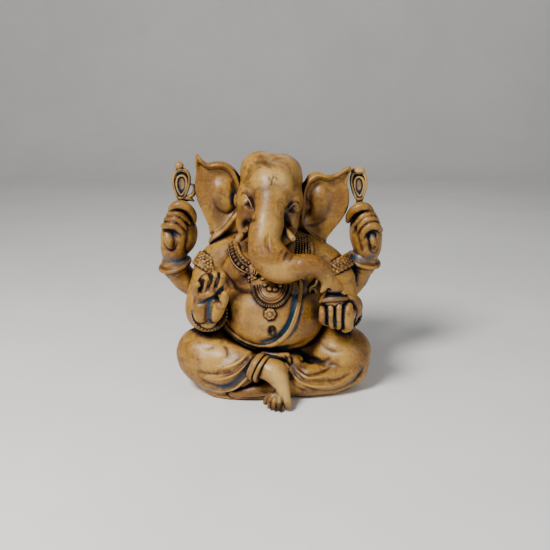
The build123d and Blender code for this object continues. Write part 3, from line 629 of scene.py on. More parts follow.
# ------------ front right arm and its raised, open hand
arm = start("front_right_arm", 0.8)
arm.tube([
    (-53, 1, 98, 13.6), (-58.4, -4, 86, 13), (-62.4, -11, 74, 12.4), (-62.8, -18, 65.5, 12),
    (-59.4, -31, 63, 10.8), (-54, -44, 65.5, 9.6)], k=4)
arm.egg((-48, -27, 62), (7, 10, 8), k=4)
arm.roughen(0.25, 10, 1)
hand = front_right_hand = start("front_right_hand", 0.5, margin=8)
hand.egg((-54, -50.5, 80), (11.2, 6.4, 15), (0, -3, 0), k=4)
hand.egg((-58.6, -52.6, 77), (6.4, 6, 11), (0, 6, 0), k=3)
hand.egg((-45.8, -53.6, 76.4), (6.0, 6.4, 10), (0, 16, 0), k=2.5)
hand.egg((-53, -53.4, 90.4), (10.4, 4.6, 4.4), (0, -12, 0), k=3)
hand.tube([
    (-44, -55.5, 79, 5.0), (-40.2, -57.4, 85.4, 4.1), (-38.6, -59.6, 90.4, 3.5), (-38.4, -61, 92.6, 2.8)
], k=2)
FINGERS = (
    (-62.2, 93.4, -61.6, 98, -60.2, 102.4, 2.9),
    (-55.4, 95.8, -54.4, 101.6, -52.8, 107.4, 3.0),
    (-49.4, 96.6, -48, 103, -46.0, 110.2, 3.1),
    (-43.2, 96.2, -41.6, 102.6, -40.2, 110.0, 3.3),
)
for foot_x, foot_z, mid_x, mid_z, tip_x, tip_z, r in FINGERS:
    hand.egg((foot_x, -54, foot_z - 1), (r + 0.3, 3, r), k=2)
    hand.tube([
        (foot_x, -53.4, foot_z - 3, r), (mid_x, -55.2, mid_z, r + 0.2),
        (tip_x - 0.2, -57, tip_z - 2.6, r + 0.1), (tip_x + 0.3, -58.8, tip_z - 2.4, r - 0.5)], k=0.8)
hand.egg((-51, -53, 100), (10, 3, 8.6), (0, -22, 0), k=2)
for rows in (
    [(-55.4, 103.6, 0.8), (-56.8, 99.4, 1), (-58.6, 95, 0.7)],
    [(-48.4, 107.2, 0.8), (-49.8, 102, 1), (-51.8, 97.4, 0.8), (-53.4, 93.4, 0.3)],
    [(-42.8, 108.4, 0.7), (-43.8, 103, 1), (-45.8, 97.6, 0.8)]):
    hand.press(rows, 1.4, 0.9)
hand.press([
    (-60.4, 83.2, 0.4), (-56.6, 84.4, 1), (-51.8, 86.2, 1.1), (-47.6, 88.2, 1.3), (-44, 90.8, 1.4),
    (-42.4, 94.4, 1.2)], 1.6, 1.4)
hand.press([
    (-51.4, 86, 0.5), (-51.8, 82, 1), (-52.2, 76, 1.1), (-52.3, 70, 1.1), (-52.2, 66.4, 0.6)], 3.6, 2.1)
hand.press([(-45.4, 87.6, 0.5), (-42.6, 85.4, 1), (-41.2, 83, 0.4)], 1.2, 1.6)

# ------------ front left arm, its hand and the sweet it holds
arm = start("front_left_arm", 0.8)
arm.tube([
    (54, 0, 96, 13.4), (59, -2, 85, 12.6), (61.4, -7, 74, 12), (62, -14, 66, 11.6), (61, -26, 64.5, 10.6),
    (59.4, -36, 67, 9.8)], k=4)
arm.roughen(0.25, 10, 4)
hand = start("front_left_hand", 0.5, margin=7)
hand.egg((53, -49, 72), (14.6, 10.4, 11), (0, -6, 0), k=3)
for x, base, low, top, r in (
    (39.6, 45, 66, 80.6, 2.9), (46.2, 48.8, 63.6, 83.6, 2.6), (52.8, 53.4, 63, 84.6, 2.7),
    (60.4, 59, 61.6, 82, 3.9)):
    hand.tube([
        (base, -53.5, low, r), (x + 0.6, -59, low + 3.6, r + 0.1), (x, -61.4, (low + top) / 2, r),
        (x, -61.2, top - 3.4, r), (x + 0.2, -58.6, top - 0.6, r - 0.4)], k=0.7)
    hand.press([(x - 1.6, top - 4.2, 0.3), (x, top - 4.8, 1), (x + 1.6, top - 4.2, 0.3)], 0.4, 0.6)
hand.tube([(68.4, -41, 71, 4.8), (69, -45, 78, 4.7), (66.4, -49, 84, 4.3), (60.6, -52.6, 87, 3.4)], k=2)
for x, low, high in ((43, 66, 82), (49.6, 64.4, 84.6), (56, 63.4, 83)):
    hand.press([
        (x + 0.8, low, 0.4), (x + 0.2, low + 4, 1), (x, (low + high) / 2, 1), (x, high - 3, 1), (x, high, 0.6)
    ], 3.2, 1.25)
modak = start("modak", 0.5)
modak.egg((49.4, -52, 85), (11.4, 10, 6.2), k=1)
modak.egg((48.6, -52, 89.4), (7.4, 7, 3.0), k=2)
modak.tube([
    (38.6, -55.4, 84.6, 1.6), (41.4, -60, 87.4, 1.9), (48, -62.4, 89, 2.0), (55, -60.8, 88.6, 1.8),
    (59.4, -56, 87, 1.5)], k=1.6)
for a in np.linspace(0, 2 * math.pi, 15)[:-1]:
    c, t = math.cos(a), math.sin(a)
    modak.crease([
        (50.6 + 2 * c, -52 + 2 * t, 91.8, 0.3), (50.6 + 6.4 * c, -52 + 6.2 * t, 90, 1),
        (50.6 + 9.4 * c, -52 + 9 * t, 85.4, 1)], 0.5, 0.7)

# ------------ rear arms, raised fists, cuffs and emblems
arm = start("rear_right_arm", 0.85)
arm.tube([
    (-46, 13, 100, 12), (-54, 18, 86, 12), (-65, 20, 76.5, 11.6), (-76, 17.5, 82, 11.2),
    (-83.5, 14.6, 92, 11), (-86.6, 13.5, 99, 10)], k=4)
arm.roughen(0.2, 9, 6)
arm = start("rear_left_arm", 0.85)
arm.tube([
    (48, 13, 99, 12), (56, 18, 84, 12), (65, 20, 76, 11.6), (72.5, 17.5, 84, 11.4), (77, 14.6, 94, 11.2),
    (79, 13.5, 101, 10.5)], k=4)
arm.roughen(0.2, 9, 7)

hand = start("rear_right_hand", 0.6, margin=7)
hand.egg((-84, 9.6, 126), (13.4, 11.6, 25), (0, 8, 0), k=4)
hand.egg((-76, 13, 124), (10, 9, 16), (0, 10, 0), k=4)
hand.tube([(-87, 10, 112, 10.5), (-86.6, 12, 102, 9.8)], k=4)
RIGHT_RIDGES = [
    [
        (-86.6, 5, 149, 3.4), (-83, 1, 152.6, 4.0), (-77.5, 1, 153.2, 4.3), (-71.8, 3, 149.2, 4.0),
        (-68.8, 6, 143.4, 3.4), (-68.4, 9, 138, 2.4)],
    [
        (-89.4, 4, 144.6, 2.2), (-84, -1.6, 146.2, 2.7), (-78.6, -2, 145.8, 2.6), (-74.6, -0.5, 141.6, 2.3),
        (-72, 2, 137.4, 1.5)],
    [
        (-91.8, 4, 140.2, 2.4), (-86, -2.2, 141.6, 2.8), (-80.6, -3, 141.2, 2.7), (-76.6, -1.5, 136.4, 2.4),
        (-74.6, 1, 131.6, 1.6)],
    [
        (-93.8, 3, 134.6, 2.9), (-88, -2.8, 136.4, 3.2), (-82.6, -3.4, 135.8, 3.0), (-78.6, -2, 131, 2.6),
        (-76.6, 1, 126.6, 1.9)],
]
for ridge in RIGHT_RIDGES:
    hand.tube(ridge, k=1.0)
hand.tube([
    (-84, -4.4, 149.4, 0.9), (-79, -5, 149.6, 1.5), (-74, -3.4, 145.4, 1.8), (-71, -0.6, 139.6, 1.3)
], k=1, cut=True)
hand.egg((-84.2, -4.6, 128.8), (5.6, 5.4, 2.8), (0, 22, 0), k=1.4, cut=True)
hand.tube([(-90.4, 0, 127.4, 4.2), (-89.2, -2.6, 122.8, 4.2), (-88.4, -3.2, 118.8, 2.5)], k=1.4)
hand.press([
    (-94.4, 123, 0.3), (-93.4, 119.6, 1), (-91, 115.8, 1.1), (-87.4, 114.6, 1.1), (-84, 117, 0.8),
    (-81.6, 121.4, 0.3)], 1.3, 1.0)
hand.press([(-72.5, 138, 0.3), (-73.6, 126, 1), (-75.6, 115, 1), (-75, 108, 0.3)], 1.2, 1.8)

hand = start("rear_left_hand", 0.6, margin=7)
hand.egg((81.4, 9.6, 127), (13.4, 11.8, 24), (0, -8, 0), k=4)
hand.egg((76, 13, 124), (8.6, 9, 18), (0, -10, 0), k=4)
hand.tube([(83, 10, 113, 10.4), (80.6, 12, 103.6, 9.8)], k=4)
LEFT_RIDGES = [
    [
        (64.8, 8, 138.4, 2.3), (65.8, 5, 143.4, 3.4), (69.6, 2, 149, 4.1), (75, 1, 152, 4.3),
        (80.4, 2, 150.6, 3.9), (84, 5, 147, 3.0)],
    [
        (69.6, 3, 131.4, 1.5), (70.8, -0.5, 138.2, 2.3), (75.6, -2, 143.8, 2.6), (81, -1.6, 145.8, 2.6),
        (86, 3, 144.4, 2.1)],
    [
        (73, 1.5, 128.8, 1.5), (74.1, -1.6, 135.4, 2.3), (78.6, -3, 140.6, 2.8), (84, -2.4, 141.8, 2.7),
        (89, 3, 139.2, 2.3)],
    [
        (76.3, 0, 124.2, 2.1), (77.7, -2.6, 131.4, 2.9), (82.6, -4, 136.2, 3.4), (88, -2.6, 135.6, 3.2),
        (92, 3, 131.4, 2.8)],
]
for ridge in LEFT_RIDGES:
    hand.tube(ridge, k=1.0)
hand.tube([
    (80.6, -4.6, 149.4, 0.9), (75.6, -5, 149, 1.5), (71.2, -3.2, 144.6, 1.7), (67.6, -0.4, 138.6, 1.3)
], k=1, cut=True)
hand.egg((84.8, -4.4, 127.4), (4.4, 5.6, 4.6), k=1.2, cut=True)
hand.tube([(84.2, 0, 129, 2.3), (85.4, -3.8, 124, 2.7), (86.7, -4.6, 119.2, 2.4)], k=0.7)
hand.egg((86.9, -7.2, 118.2), (1.9, 2, 0.9), k=0.6, cut=True)
hand.press([(83, 118.6, 0.4), (85, 112.8, 1), (88.6, 111.4, 1), (91, 116, 0.6)], 1.0, 1.0)
hand.press([(70, 134, 0.3), (73.6, 124, 1), (76.4, 114, 0.6)], 1.0, 1.8)


def flange(node, centre, axis, radius, tube_points):
    """A cuff: a flared disc with a rolled rim about the wrist, over a short sleeve."""
    s = start(node, 0.55, margin=7)
    s.ring(centre, axis, radius, 1.7, k=0.8)
    axis = np.array(axis, float) / np.linalg.norm(axis)
    s.tube(tube_points, k=2.4)
    for back in (2.4, 4.8):
        s.ring(np.array(centre) - axis * back, axis, radius - 2.4 - back * 0.35, 1.0, k=1.2)


flange(
    "rear_right_cuff", (-86.4, 12.6, 98.6), (-0.25, -0.22, 0.94), 13.6,
    [(-87, 12.6, 101.4, 10.4), (-86, 13, 98, 12.6), (-85.2, 13.6, 94.6, 11.8)])
flange(
    "rear_left_cuff", (79.6, 12.6, 102.6), (0.24, -0.22, 0.94), 14.2,
    [(80.4, 12.6, 105.2, 10.4), (79.4, 13, 102, 13.0), (78.8, 13.6, 98.4, 12.0)])


def teardrop(x, z, width, height, scale):
    """A closed teardrop, blunt at the top and pointed at the bottom, in X and Z."""
    out = []
    for a in np.arange(28) * (2 * math.pi / 28):
        w = width * scale * math.sin(a) * (0.72 + 0.28 * math.cos(a))
        out.append((x + w, z + height * scale * math.cos(a)))
    return out


def emblem_sculpt(node, x, z, width, height, y, tilt):
    """A hand-held emblem: nested teardrop rims over a hollow, on a short shaft."""
    s = start(node, 0.42, margin=7)
    lean = math.tan(math.radians(tilt))

    def row(points, radius, ahead=0.0):
        return loop([(px + (pz - z) * lean, y - ahead, pz, radius) for px, pz in points], 0.9)

    s.tube([
        (x + (pz - z) * lean, y + 1.2, pz, r)
        for pz, r in ((z + height * 0.46, width * 0.55), (z, width * 0.66), (z - height * 0.55, width * 0.36))
    ], k=1, flat=((0, 1, 0), 0.34))
    s.tube(row(teardrop(x, z, width, height, 0.98), 1.5, 0.6), k=0.5, ready=True)
    s.tube(row(teardrop(x + 0.3, z - 0.3, width, height, 0.62), 1.1, 1.6), k=0.4, ready=True)
    s.egg((x + 0.3, y - 2.6, z), (width * 0.38, 2.9, height * 0.44), k=0.5, cut=True)
    s.tube([
        (x - height * lean, y, z - height * 0.9, 2.6), (x - (height + 8) * lean, y, z - height - 6, 2.9),
        (x - (height + 20) * lean, y, z - height - 18, 3)], k=1.4)
    s.ring((x - (height + 1.4) * lean, y, z - height - 1.4), (lean, 0, 1), 2.4, 1.0, k=0.6)
    return s


goad = emblem_sculpt("goad", -78.6, 169.4, 9.0, 13.6, 10.5, 3)
goad.egg((-79.9, 9.6, 186.0), (3.9, 3.6, 3.3), k=0.6)
goad.egg((-79.2, 9.8, 182.6), (2.6, 2.6, 1.6), k=0.6)
goad.tube([
    (-72.6, 10.4, 159, 1.6), (-69, 10.6, 160.6, 1.9), (-67, 10.6, 164.4, 1.9), (-67.6, 10.2, 168.4, 1.5),
    (-69.4, 10, 169.6, 1.0)], k=1)
goad.tube([(-75.6, 10.4, 156.6, 2.2), (-71.4, 10.6, 157, 1.8), (-68.6, 10.8, 155.4, 1.1)], k=1)
noose = emblem_sculpt("noose", 73.4, 168.4, 8.2, 13.4, 10.5, -4)
noose.egg((72.4, 10.4, 181.4), (6.4, 4.4, 3.4), k=0.8)
noose.crease([
    (66.4, 6.4, 180.2, 0.4), (70, 5.8, 179.2, 1), (74, 5.8, 179.2, 1), (78, 6.6, 180, 0.4)], 1.4, 0.8)

# ------------ feet, hem and lap cloth
foot = start("right_foot", 0.5, margin=8)
foot.tube([
    (-12, -60.6, 30.6, 8.8), (-3, -64.5, 29.6, 9.2), (3, -68, 26, 8.8), (6.8, -71.4, 19.6, 6.6),
    (9, -74.6, 13.6, 5.0)], k=3)
foot.egg((3, -64, 31), (9, 7, 6.5), (0, 14, 0), k=3)
foot.egg((3, -73.4, 9.6), (9, 5, 5), (0, -6, 0), k=3)
foot.press([(-5, 33, 0.5), (1.4, 32.2, 1), (8, 29.6, 1), (11.4, 27, 0.4)], -0.5, 1.2)
for rows in (
    [(9.6, -75.4, 12.6, 4.2), (11, -78.6, 8.4, 3.8), (11.4, -80.4, 5.4, 3.1)],
    [(6.4, -74.6, 12, 2.6), (5.4, -78.6, 9, 2.7), (5.2, -81.4, 4.8, 2.4), (5.6, -82, 2.6, 1.9)],
    [(3.4, -74, 11.6, 2.4), (1.4, -78, 9, 2.6), (0.8, -80.4, 5, 2.2), (1.2, -81, 3, 1.6)],
    [(0.6, -73.4, 11, 2.3), (-2.2, -76.8, 8.8, 2.4), (-3, -78.6, 5.4, 2.0), (-2.4, -79.2, 3.4, 1.5)],
    [(-1.8, -72.4, 10.6, 2.2), (-5.2, -75, 8.8, 2.2), (-6.2, -76.4, 6, 1.9)],
):
    foot.tube(rows, k=0.6)
for x, z in ((11.6, 6.6), (5.4, 5.2), (0.9, 5.6), (-2.9, 6)):
    foot.press([(x - 1.4, z + 1.2, 0.4), (x, z + 1.9, 1), (x + 1.4, z + 1.2, 0.4)], 0.5, 0.5)
foot.slab((0, 0, 1.2), (0, 0, -1), k=0.6)
foot = start("left_foot", 0.6, margin=6)
foot.tube([
    (-2, -52, 9, 7.4), (-12, -57, 9.4, 7), (-24, -57.5, 8, 6), (-33, -56.5, 6.4, 4.6)
], k=3, flat=((0, 0, 1), 0.85))
for i, (x, z) in enumerate(((-34.6, 9.2), (-35.4, 7), (-35.6, 5), (-35, 3.2))):
    foot.tube([(x + 7, -58, z, 2.4), (x + 0.8 * i, -58.6 + 0.6 * i, z - 0.4, 1.9)], k=0.7)
foot.slab((0, 0, 1.2), (0, 0, -1), k=0.6)
ankle_hem = start("ankle_hem", 0.5, margin=8)
HEM_AXIS = (0.85, -0.36, -0.36)
for x, y, z, r, thick, width in (
    (-15.6, -59.8, 31.2, 9.9, 1.8, 1.4), (-13.2, -61, 30.8, 10.2, 2.4, 4.2),
    (-9.4, -62.8, 29.6, 9.7, 2.3, 3.4)):
    ankle_hem.ring((x, y, z), HEM_AXIS, r, thick, k=0.5, width=width)
lap_cloth = start("lap_cloth", 0.6, margin=7)
lap_cloth.tube([
    (-8, -50.6, 38.6, 2.2), (-1, -53, 37.6, 2.7), (6, -53.6, 37.4, 2.9), (11.4, -53, 37.6, 2.6)], k=1)
lap_cloth.tube([(-7, -51.6, 36, 1.7), (-2, -54, 34.8, 1.7), (3, -54.8, 34.4, 1.3)], k=0.8)
lap_cloth.tube([(10.4, -53, 37, 2.4), (12.8, -53, 34.4, 1.8), (13.8, -52.4, 31.6, 1.2)], k=0.8)
lap_cloth.press([(-7, 39, 0.4), (-2, 38.2, 1), (3, 38, 0.4)], 0.8, 0.8)
lap_cloth.press([(9.6, 39, 0.3), (10.6, 37, 1), (11.6, 35, 0.6)], 0.9, 0.8)

# ------------ jewellery
def patch(node, on, distance, thick, low, high):
    """A plate that lies on another sculpt, inside a region given by a distance in X and Z."""
    s = start(node, 0.45, low=low, high=high)
    part, grid = s.window(s.low, s.low + (np.array(s.shape) - 1) * s.voxel)
    base = on.at(grid.reshape(-1, 3)).reshape(grid.shape[:3])
    edge = distance(grid[..., 0], grid[..., 2])
    plate = both(base - thick + 0.5, edge + 0.5, 0.5)
    s.field[part] = np.maximum(plate, -(base + 1.2)).astype(np.float32)
    return s


def along(points, spacing):
    """Spots at even spacing along a line of X, Y, Z."""
    line = spline([p[:3] for p in points], 0.4)
    gone = np.concatenate([[0], np.cumsum(np.linalg.norm(np.diff(line, axis=0), axis=1))])
    wanted = np.arange(spacing * 0.5, gone[-1], spacing)
    return [tuple(np.interp(w, gone, line[:, i]) for i in range(3)) for w in wanted]


def round_arm(centre, axis, radius, angle):
    """A point on a circle about an axis. Angle 0 faces the front and angles run towards +X."""
    axis = np.array(axis, float) / np.linalg.norm(axis)
    ahead = np.array([0, -1.0, 0]) - axis * -axis[1]
    ahead /= np.linalg.norm(ahead)
    side = np.cross(axis, ahead)
    side *= -1 if side[0] < 0 else 1
    a = math.radians(angle)
    return tuple(np.array(centre) + radius * (ahead * math.cos(a) + side * math.sin(a)))


shoulder_cord = start("shoulder_cord", 0.5, low=(-48, -64, 40), high=(38, 2, 128))
SASH = [
    (24, 103), (22.4, 95.8), (21.3, 85.7), (18.4, 74.2), (14, 63.5), (8.5, 54.8), (0.2, 48), (-9.4, 45.6),
    (-19.4, 46.8), (-29, 51), (-37, 56.4), (-43, 62)]
sash_line = [(x, y, z, 1.5 + 0.7 * (z < 62)) for x, y, z in skin([torso], SASH, -0.2)]
shoulder_cord.tube(sash_line, k=0.8)
sash_side = [(x + 1.5, y + 0.2, z - 0.4, 1.0) for x, y, z, r in sash_line]
shoulder_cord.tube(sash_side, k=0.8)
shoulder_cord.tube([
    (28, -8, 123, 1.6), (27.5, -16, 118.6, 1.6),
    *[(x, y + 0.4, z, 1.5) for x, y, z in skin([torso], [(26.6, 112), (24, 103)])]], k=0.8)
torso.press([
    (17.8, 88, 0.5), (16, 77, 1), (12.4, 66.4, 1.2), (7.4, 58.8, 1.1), (1, 53, 0.8), (-8, 50.6, 0.2)
], 2.3, 2.3)
torso.press([(24.6, 90, 0.4), (22.8, 75, 1), (18.6, 62, 1), (12, 53.4, 0.6)], 0.9, 1.6)

OUTER = [(-36.4, 127.5), (-35.6, 121.5), (-33, 115.6), (-28.6, 110.8), (-23.4, 107.2), (-17.8, 104.8)]
INNER = [(-31, 127.5), (-30, 121.5), (-27, 116.8), (-22, 112.6), (-16.6, 109.8), (-12, 108.4)]
collar_band = start("collar_band", 0.5, low=(-44, -46, 98), high=(40, 8, 134))
outer, inner = skin([torso], OUTER, 0.2), skin([torso], INNER, 0.2)


def between(p, q, t):
    """The line this share of the way from one line to another."""
    return [tuple(a * (1 - t) + b * t for a, b in zip(u, v)) for u, v in zip(p, q)]


for line, r in ((outer, 1.5), (between(outer, inner, 0.5), 1.25), (inner, 1.5)):
    collar_band.tube([(*p, r) for p in line], k=1.2)
for share, r in ((0.44, 0.7), (-0.42, 0.6)):
    collar_band.tube([(x, y - 1.0, z, r) for x, y, z in between(outer, inner, share)], k=0.4)
right_panel = skin([torso], [(31.4, 127), (32.6, 121), (32.4, 115), (29.6, 110)], 0.3)
collar_band.tube([(*p, 1.7) for p in right_panel], k=0.6)
collar_band.tube([(p[0] - 1.8, p[1] - 0.4, p[2] + 0.4, 1.0) for p in right_panel], k=0.6)
collar_beads = start("collar_beads", 0.42, low=(-44, -48, 98), high=(40, 6, 134))
for x, y, z in along(skin([torso], OUTER, 1.5), 4.2):
    collar_beads.egg((x, y, z), (1.85, 1.6, 1.85), k=0.3, power=2.6)
for x, y, z in along(skin([torso], INNER, 1.5), 3.0):
    collar_beads.egg((x, y, z), (1.3, 1.2, 1.3), k=0.3)
for row in range(5):
    column = [(x - 2.4 * row, z) for x, z in ((29.4, 128), (30, 122), (29.4, 115), (27, 110))]
    for x, y, z in along(skin([torso], column, 0.4), 2.15):
        collar_beads.egg((x, y, z), (1.05, 1.0, 0.9), k=0.3)

medallion = start("medallion", 0.4, margin=6)
spot = np.array(front([torso], -17.2, 105.2, 1.8))
face = (-0.35, -0.93, 0.1)
medallion.egg(spot + (0, 0.8, 0), (4.6, 2.6, 4.6), k=0.6)
for radius, thick in ((4.6, 0.8), (2.9, 0.55), (1.2, 0.7)):
    medallion.ring(spot + np.array(face) * (1.2 if radius < 4 else 0.4), face, radius, thick, k=0.35)


def petals(s, spot, face, count, radius, size, heart):
    """A flower facing this way: petals about a heart."""
    face = np.array(face, float) / np.linalg.norm(face)
    right = np.cross(face, (0, 0, 1.0))
    right /= np.linalg.norm(right)
    up = np.cross(right, face)
    for i in range(count):
        a = 2 * math.pi * (i + 0.5) / count
        out = radius * (right * math.cos(a) + up * math.sin(a))
        s.egg(np.array(spot) + out, (size, size * 0.8, size), k=0.5)
    s.egg(np.array(spot) + face * size * 0.35, (heart, heart, heart), k=0.3)


chest_flower = start("chest_flower", 0.4, margin=6)
petals(chest_flower, front([torso], -17, 98.0, 1.2), (-0.3, -0.95, -0.1), 6, 2.9, 1.7, 1.5)
petals(chest_flower, front([torso], -12.4, 101.6, 0.8), (-0.2, -0.97, 0), 5, 1.6, 1.0, 0.8)
pendant_flower = start("pendant_flower", 0.42, margin=6)
petals(pendant_flower, front([torso], -2.4, 75.6, 1.6), (-0.03, -1, 0.1), 7, 3.1, 1.9, 2.2)
pendant_flower.egg(front([torso], -2.0, 79.6, 1.2), (1.7, 1.2, 1.3), k=0.5)

BIB = (-1.4, 96.5)
BIB_R = 16.8


def bib_edge(x, z):
    """The distance out of the bib's half disc."""
    return np.maximum(np.hypot(x - BIB[0], z - BIB[1]) - BIB_R, z - BIB[1] - 3)


bib_necklace = patch("bib_necklace", torso, bib_edge, 1.5, low=(-21, -64, 76), high=(18, -20, 102))


def bib_arc(radius):
    """X and Z along an arc of the bib."""
    angles = np.radians(np.linspace(4, 176, 15))
    return [(BIB[0] + radius * math.cos(a), BIB[1] - radius * math.sin(a)) for a in angles]


for radius, depth, width in (
    (13.7, 0.7, 0.6), (12.7, -0.7, 0.6), (11.3, 0.6, 0.55), (10.4, -0.7, 0.6), (9.4, 0.6, 0.6)):
    bib_necklace.press(bib_arc(radius), depth, width)
bib_beads = start("bib_beads", 0.42, low=(-22, -66, 76), high=(19, -20, 102))
for x, y, z in along(skin([bib_necklace], bib_arc(15.4)), 1.95):
    bib_beads.egg((x, y + 0.1, z), (0.9, 1.1, 1.0), k=0.25, power=3.0)
garland_beads = start("garland_beads", 0.42, margin=7)
for x, z, r in (
    (-8.2, 99.4, 2.0), (-6.2, 95.8, 2.2), (-2.8, 93.4, 2.4), (1.6, 93.0, 2.4), (5.4, 95.4, 2.2),
    (8, 98.8, 2.0)):
    x, y, z = front([bib_necklace, torso], x, z, 0.6)
    garland_beads.egg((x, y, z), (r, r * 0.9, r * 0.9), k=0.3)

chest_knot = start("chest_knot", 0.42, margin=6)
kx, ky, kz = front([torso], 32.6, 86, 0.4)
chest_knot.ring((kx, ky, kz), (0.55, -0.8, 0.1), 3.1, 1.15, k=0.5)
chest_knot.tube([
    (kx - 4.2, ky - 1.2, kz + 1.6, 1.0), (kx - 1.6, ky - 1, kz + 4.6, 1.2), (kx + 2.4, ky + 0.4, kz + 6, 1.2),
    (kx + 3.6, ky + 1, kz + 9.6, 1.0)], k=0.6)
chest_knot.tube([
    (kx - 1, ky - 1, kz - 3, 1.1), (kx + 1.4, ky - 0.4, kz - 5.4, 1.0), (kx + 4, ky + 1, kz - 5, 0.8)], k=0.6)


def beaded_ring(node, centre, axis, radius, band, rows, size, count, bosses=(), blend=0.25):
    """A bangle: a band about a limb with rows of beads round it, and bosses with petals."""
    s = start(node, 0.45, margin=8)
    axis = np.array(axis, float) / np.linalg.norm(axis)
    s.ring(centre, axis, radius, 1.4, k=0.6, width=band)
    for offset in rows:
        for i in range(count):
            angle = 360 * (i + 0.5 * (rows.index(offset) % 2)) / count - 180
            spot = round_arm(np.array(centre) + axis * offset, axis, radius + 0.7, angle)
            s.egg(spot, (size, size, size), k=blend)
    for angle, reach in bosses:
        spot = np.array(round_arm(centre, axis, radius + 1.2, angle))
        petals(s, spot, spot - np.array(centre), 6, reach, reach * 0.52, reach * 0.5)


beaded_ring(
    "right_armlet", (-54.6, 0.6, 100), (-0.55, -0.3, -0.78), 13.0, 12.0, [-5.2, -1.8, 1.8, 5.2], 1.4, 22,
    ((-14, 3.0), (-46, 2.8), (18, 2.6)), 1.3)
beaded_ring(
    "left_armlet", (54.4, 0.6, 99.0), (0.5, -0.25, -0.83), 13.0, 11.0, [-4.6, -1.5, 1.6, 4.7], 1.5, 21,
    ((14, 2.8), (48, 2.6)), 1.3)
beaded_ring(
    "right_bracelet", (-52.4, -44, 71.4), (0.1, -0.9, 0.42), 13.6, 4.4, [-2.2, 0, 2.2], 1.0, 32)
beaded_ring(
    "left_bracelet", (61.0, -34, 67.5), (-0.2, -0.95, 0.22), 12.0, 4.4, [-2.2, 0, 2.2], 1.1, 28)
waist_belt = start("waist_belt", 0.45, low=(-58, -64, 38), high=(-6, -8, 74))
belt = skin([torso], [(-44.6, 66), (-42.6, 60), (-38.4, 54), (-32, 49), (-23, 45.4), (-13, 43)], 0.2)
waist_belt.tube([(*p, 1.5) for p in belt], k=0.5)
for shift in (-1.5, 1.5):
    for x, y, z in along([(p[0] + shift * 0.5, p[1] - 1.0, p[2] + shift) for p in belt], 2.1):
        waist_belt.egg((x, y, z), (1.0, 1.0, 1.0), k=0.25)

# ------------ dabs of paint and wash, and of painted shade and painted highlight, by kind
DABS = []


def dab(kind, points, width, amount=1.0, on=None):
    """Marks the surface near a line of X, Y, Z for a paint mask, on the named nodes only if any are given."""
    rows = [p[:3] for p in points]
    line = spline(rows, 1.2) if len(rows) > 1 else np.array(rows * 2, np.float32)
    DABS.append((kind, line[:, :3], width, amount, on))


# blue-green colour, in the deepest places
dab("blue", skin([front_right_hand], [(-51.4, 86), (-51.8, 80), (-52.2, 73), (-52.2, 66)]), 2.3, 1.0)
dab("blue", skin([front_right_hand], [(-60, 83.4), (-55, 85), (-51, 86.4), (-45, 90)]), 1.4, 0.6)
dab("blue", skin([torso], [
    (18.4, 90), (16.4, 77), (12.6, 66), (7.4, 58.4), (0, 52.6), (-9, 50.4)]), 2.4, 1.0, ("torso",))
dab("blue", skin([torso], [(26, 100), (25.6, 88), (23, 75), (18.6, 64), (12, 54)]), 1.6, 0.5, ("torso",))
dab("blue", skin([seat], [(-20, 44), (-15, 42), (-6, 39), (6, 38.6), (17, 41)]), 2.4, 0.6)
dab("blue", skin([seat], [
    (-16.8, 33), (-20.8, 29.2), (-26.8, 23.6), (-33.5, 17.8), (-41, 13.2), (-50, 11.6)]), 2.4, 0.8)
dab("blue", skin([seat], [(16, 30), (18.8, 23.6), (26, 18.2)]), 1.8, 0.5)
dab("blue", skin([seat], [(60, 10), (68, 15), (74, 24)]), 2.6, 0.5)
dab("blue", [(34, -58, 88), (39, -61, 90), (46, -62, 91.6), (54, -60, 91)], 3.2, 0.9)
for gap, low, high in ((43.2, 66, 82), (49.8, 64.4, 84.6), (56.2, 63.4, 83)):
    dab("blue", [(gap, -61.4, low), (gap, -62, (low + high) / 2), (gap, -61, high)], 1.7, 0.95)
dab("blue", [(66, -48, 60), (73, -38, 68)], 4, 0.7)
dab("blue", [(-92, 4, 106), (-86, 0, 104), (-78, 4, 104)], 3.6, 0.9)
dab("blue", [(86, 0, 108), (78, -2, 106), (71, 4, 108)], 3.6, 0.9)
dab("blue", [(-84.4, -3, 128.8)], 4.4, 0.8)
dab("blue", [(85, -3, 127.4)], 4.0, 0.8)
dab("blue", [(26, 0, 128), (32, -2, 124)], 5, 0.6)
dab("blue", [(-58, -2, 128), (-52, 0, 124)], 4, 0.5)
dab("blue", [(14, -44, 152), (17, -42, 146)], 2.4, 0.6, ("head",))
# mauve-grey, in broad thin patches
dab("mauve", [(-51, 4, 160), (-48, 4, 142)], 9, 0.8, ("right_ear",))
dab("mauve", [(48, 4, 160), (44, 4, 142)], 8, 0.7, ("left_ear",))
dab("mauve", skin([torso], [(-26, 112), (-18, 103)]), 8, 0.6)
dab("mauve", skin([torso], [(-6, 90), (6, 90)]), 9, 0.8, ("bib_necklace", "torso"))
dab("mauve", skin([torso], [(30, 92), (36, 78)]), 9, 0.6, ("torso",))
dab("mauve", [(2, -40, 172), (2, -46, 158), (2, -56, 140)], 6, 0.3, ("head",))
# reddish brown, on the chest
dab("rust", skin([torso], [(-38, 104), (-34, 95), (-30, 88)]), 8, 0.8)
dab("rust", skin([torso], [(28, 108), (34, 100)]), 6, 0.4)
dab("rust", skin([head], [(-12, 146), (-14, 138)]), 6, 0.4)
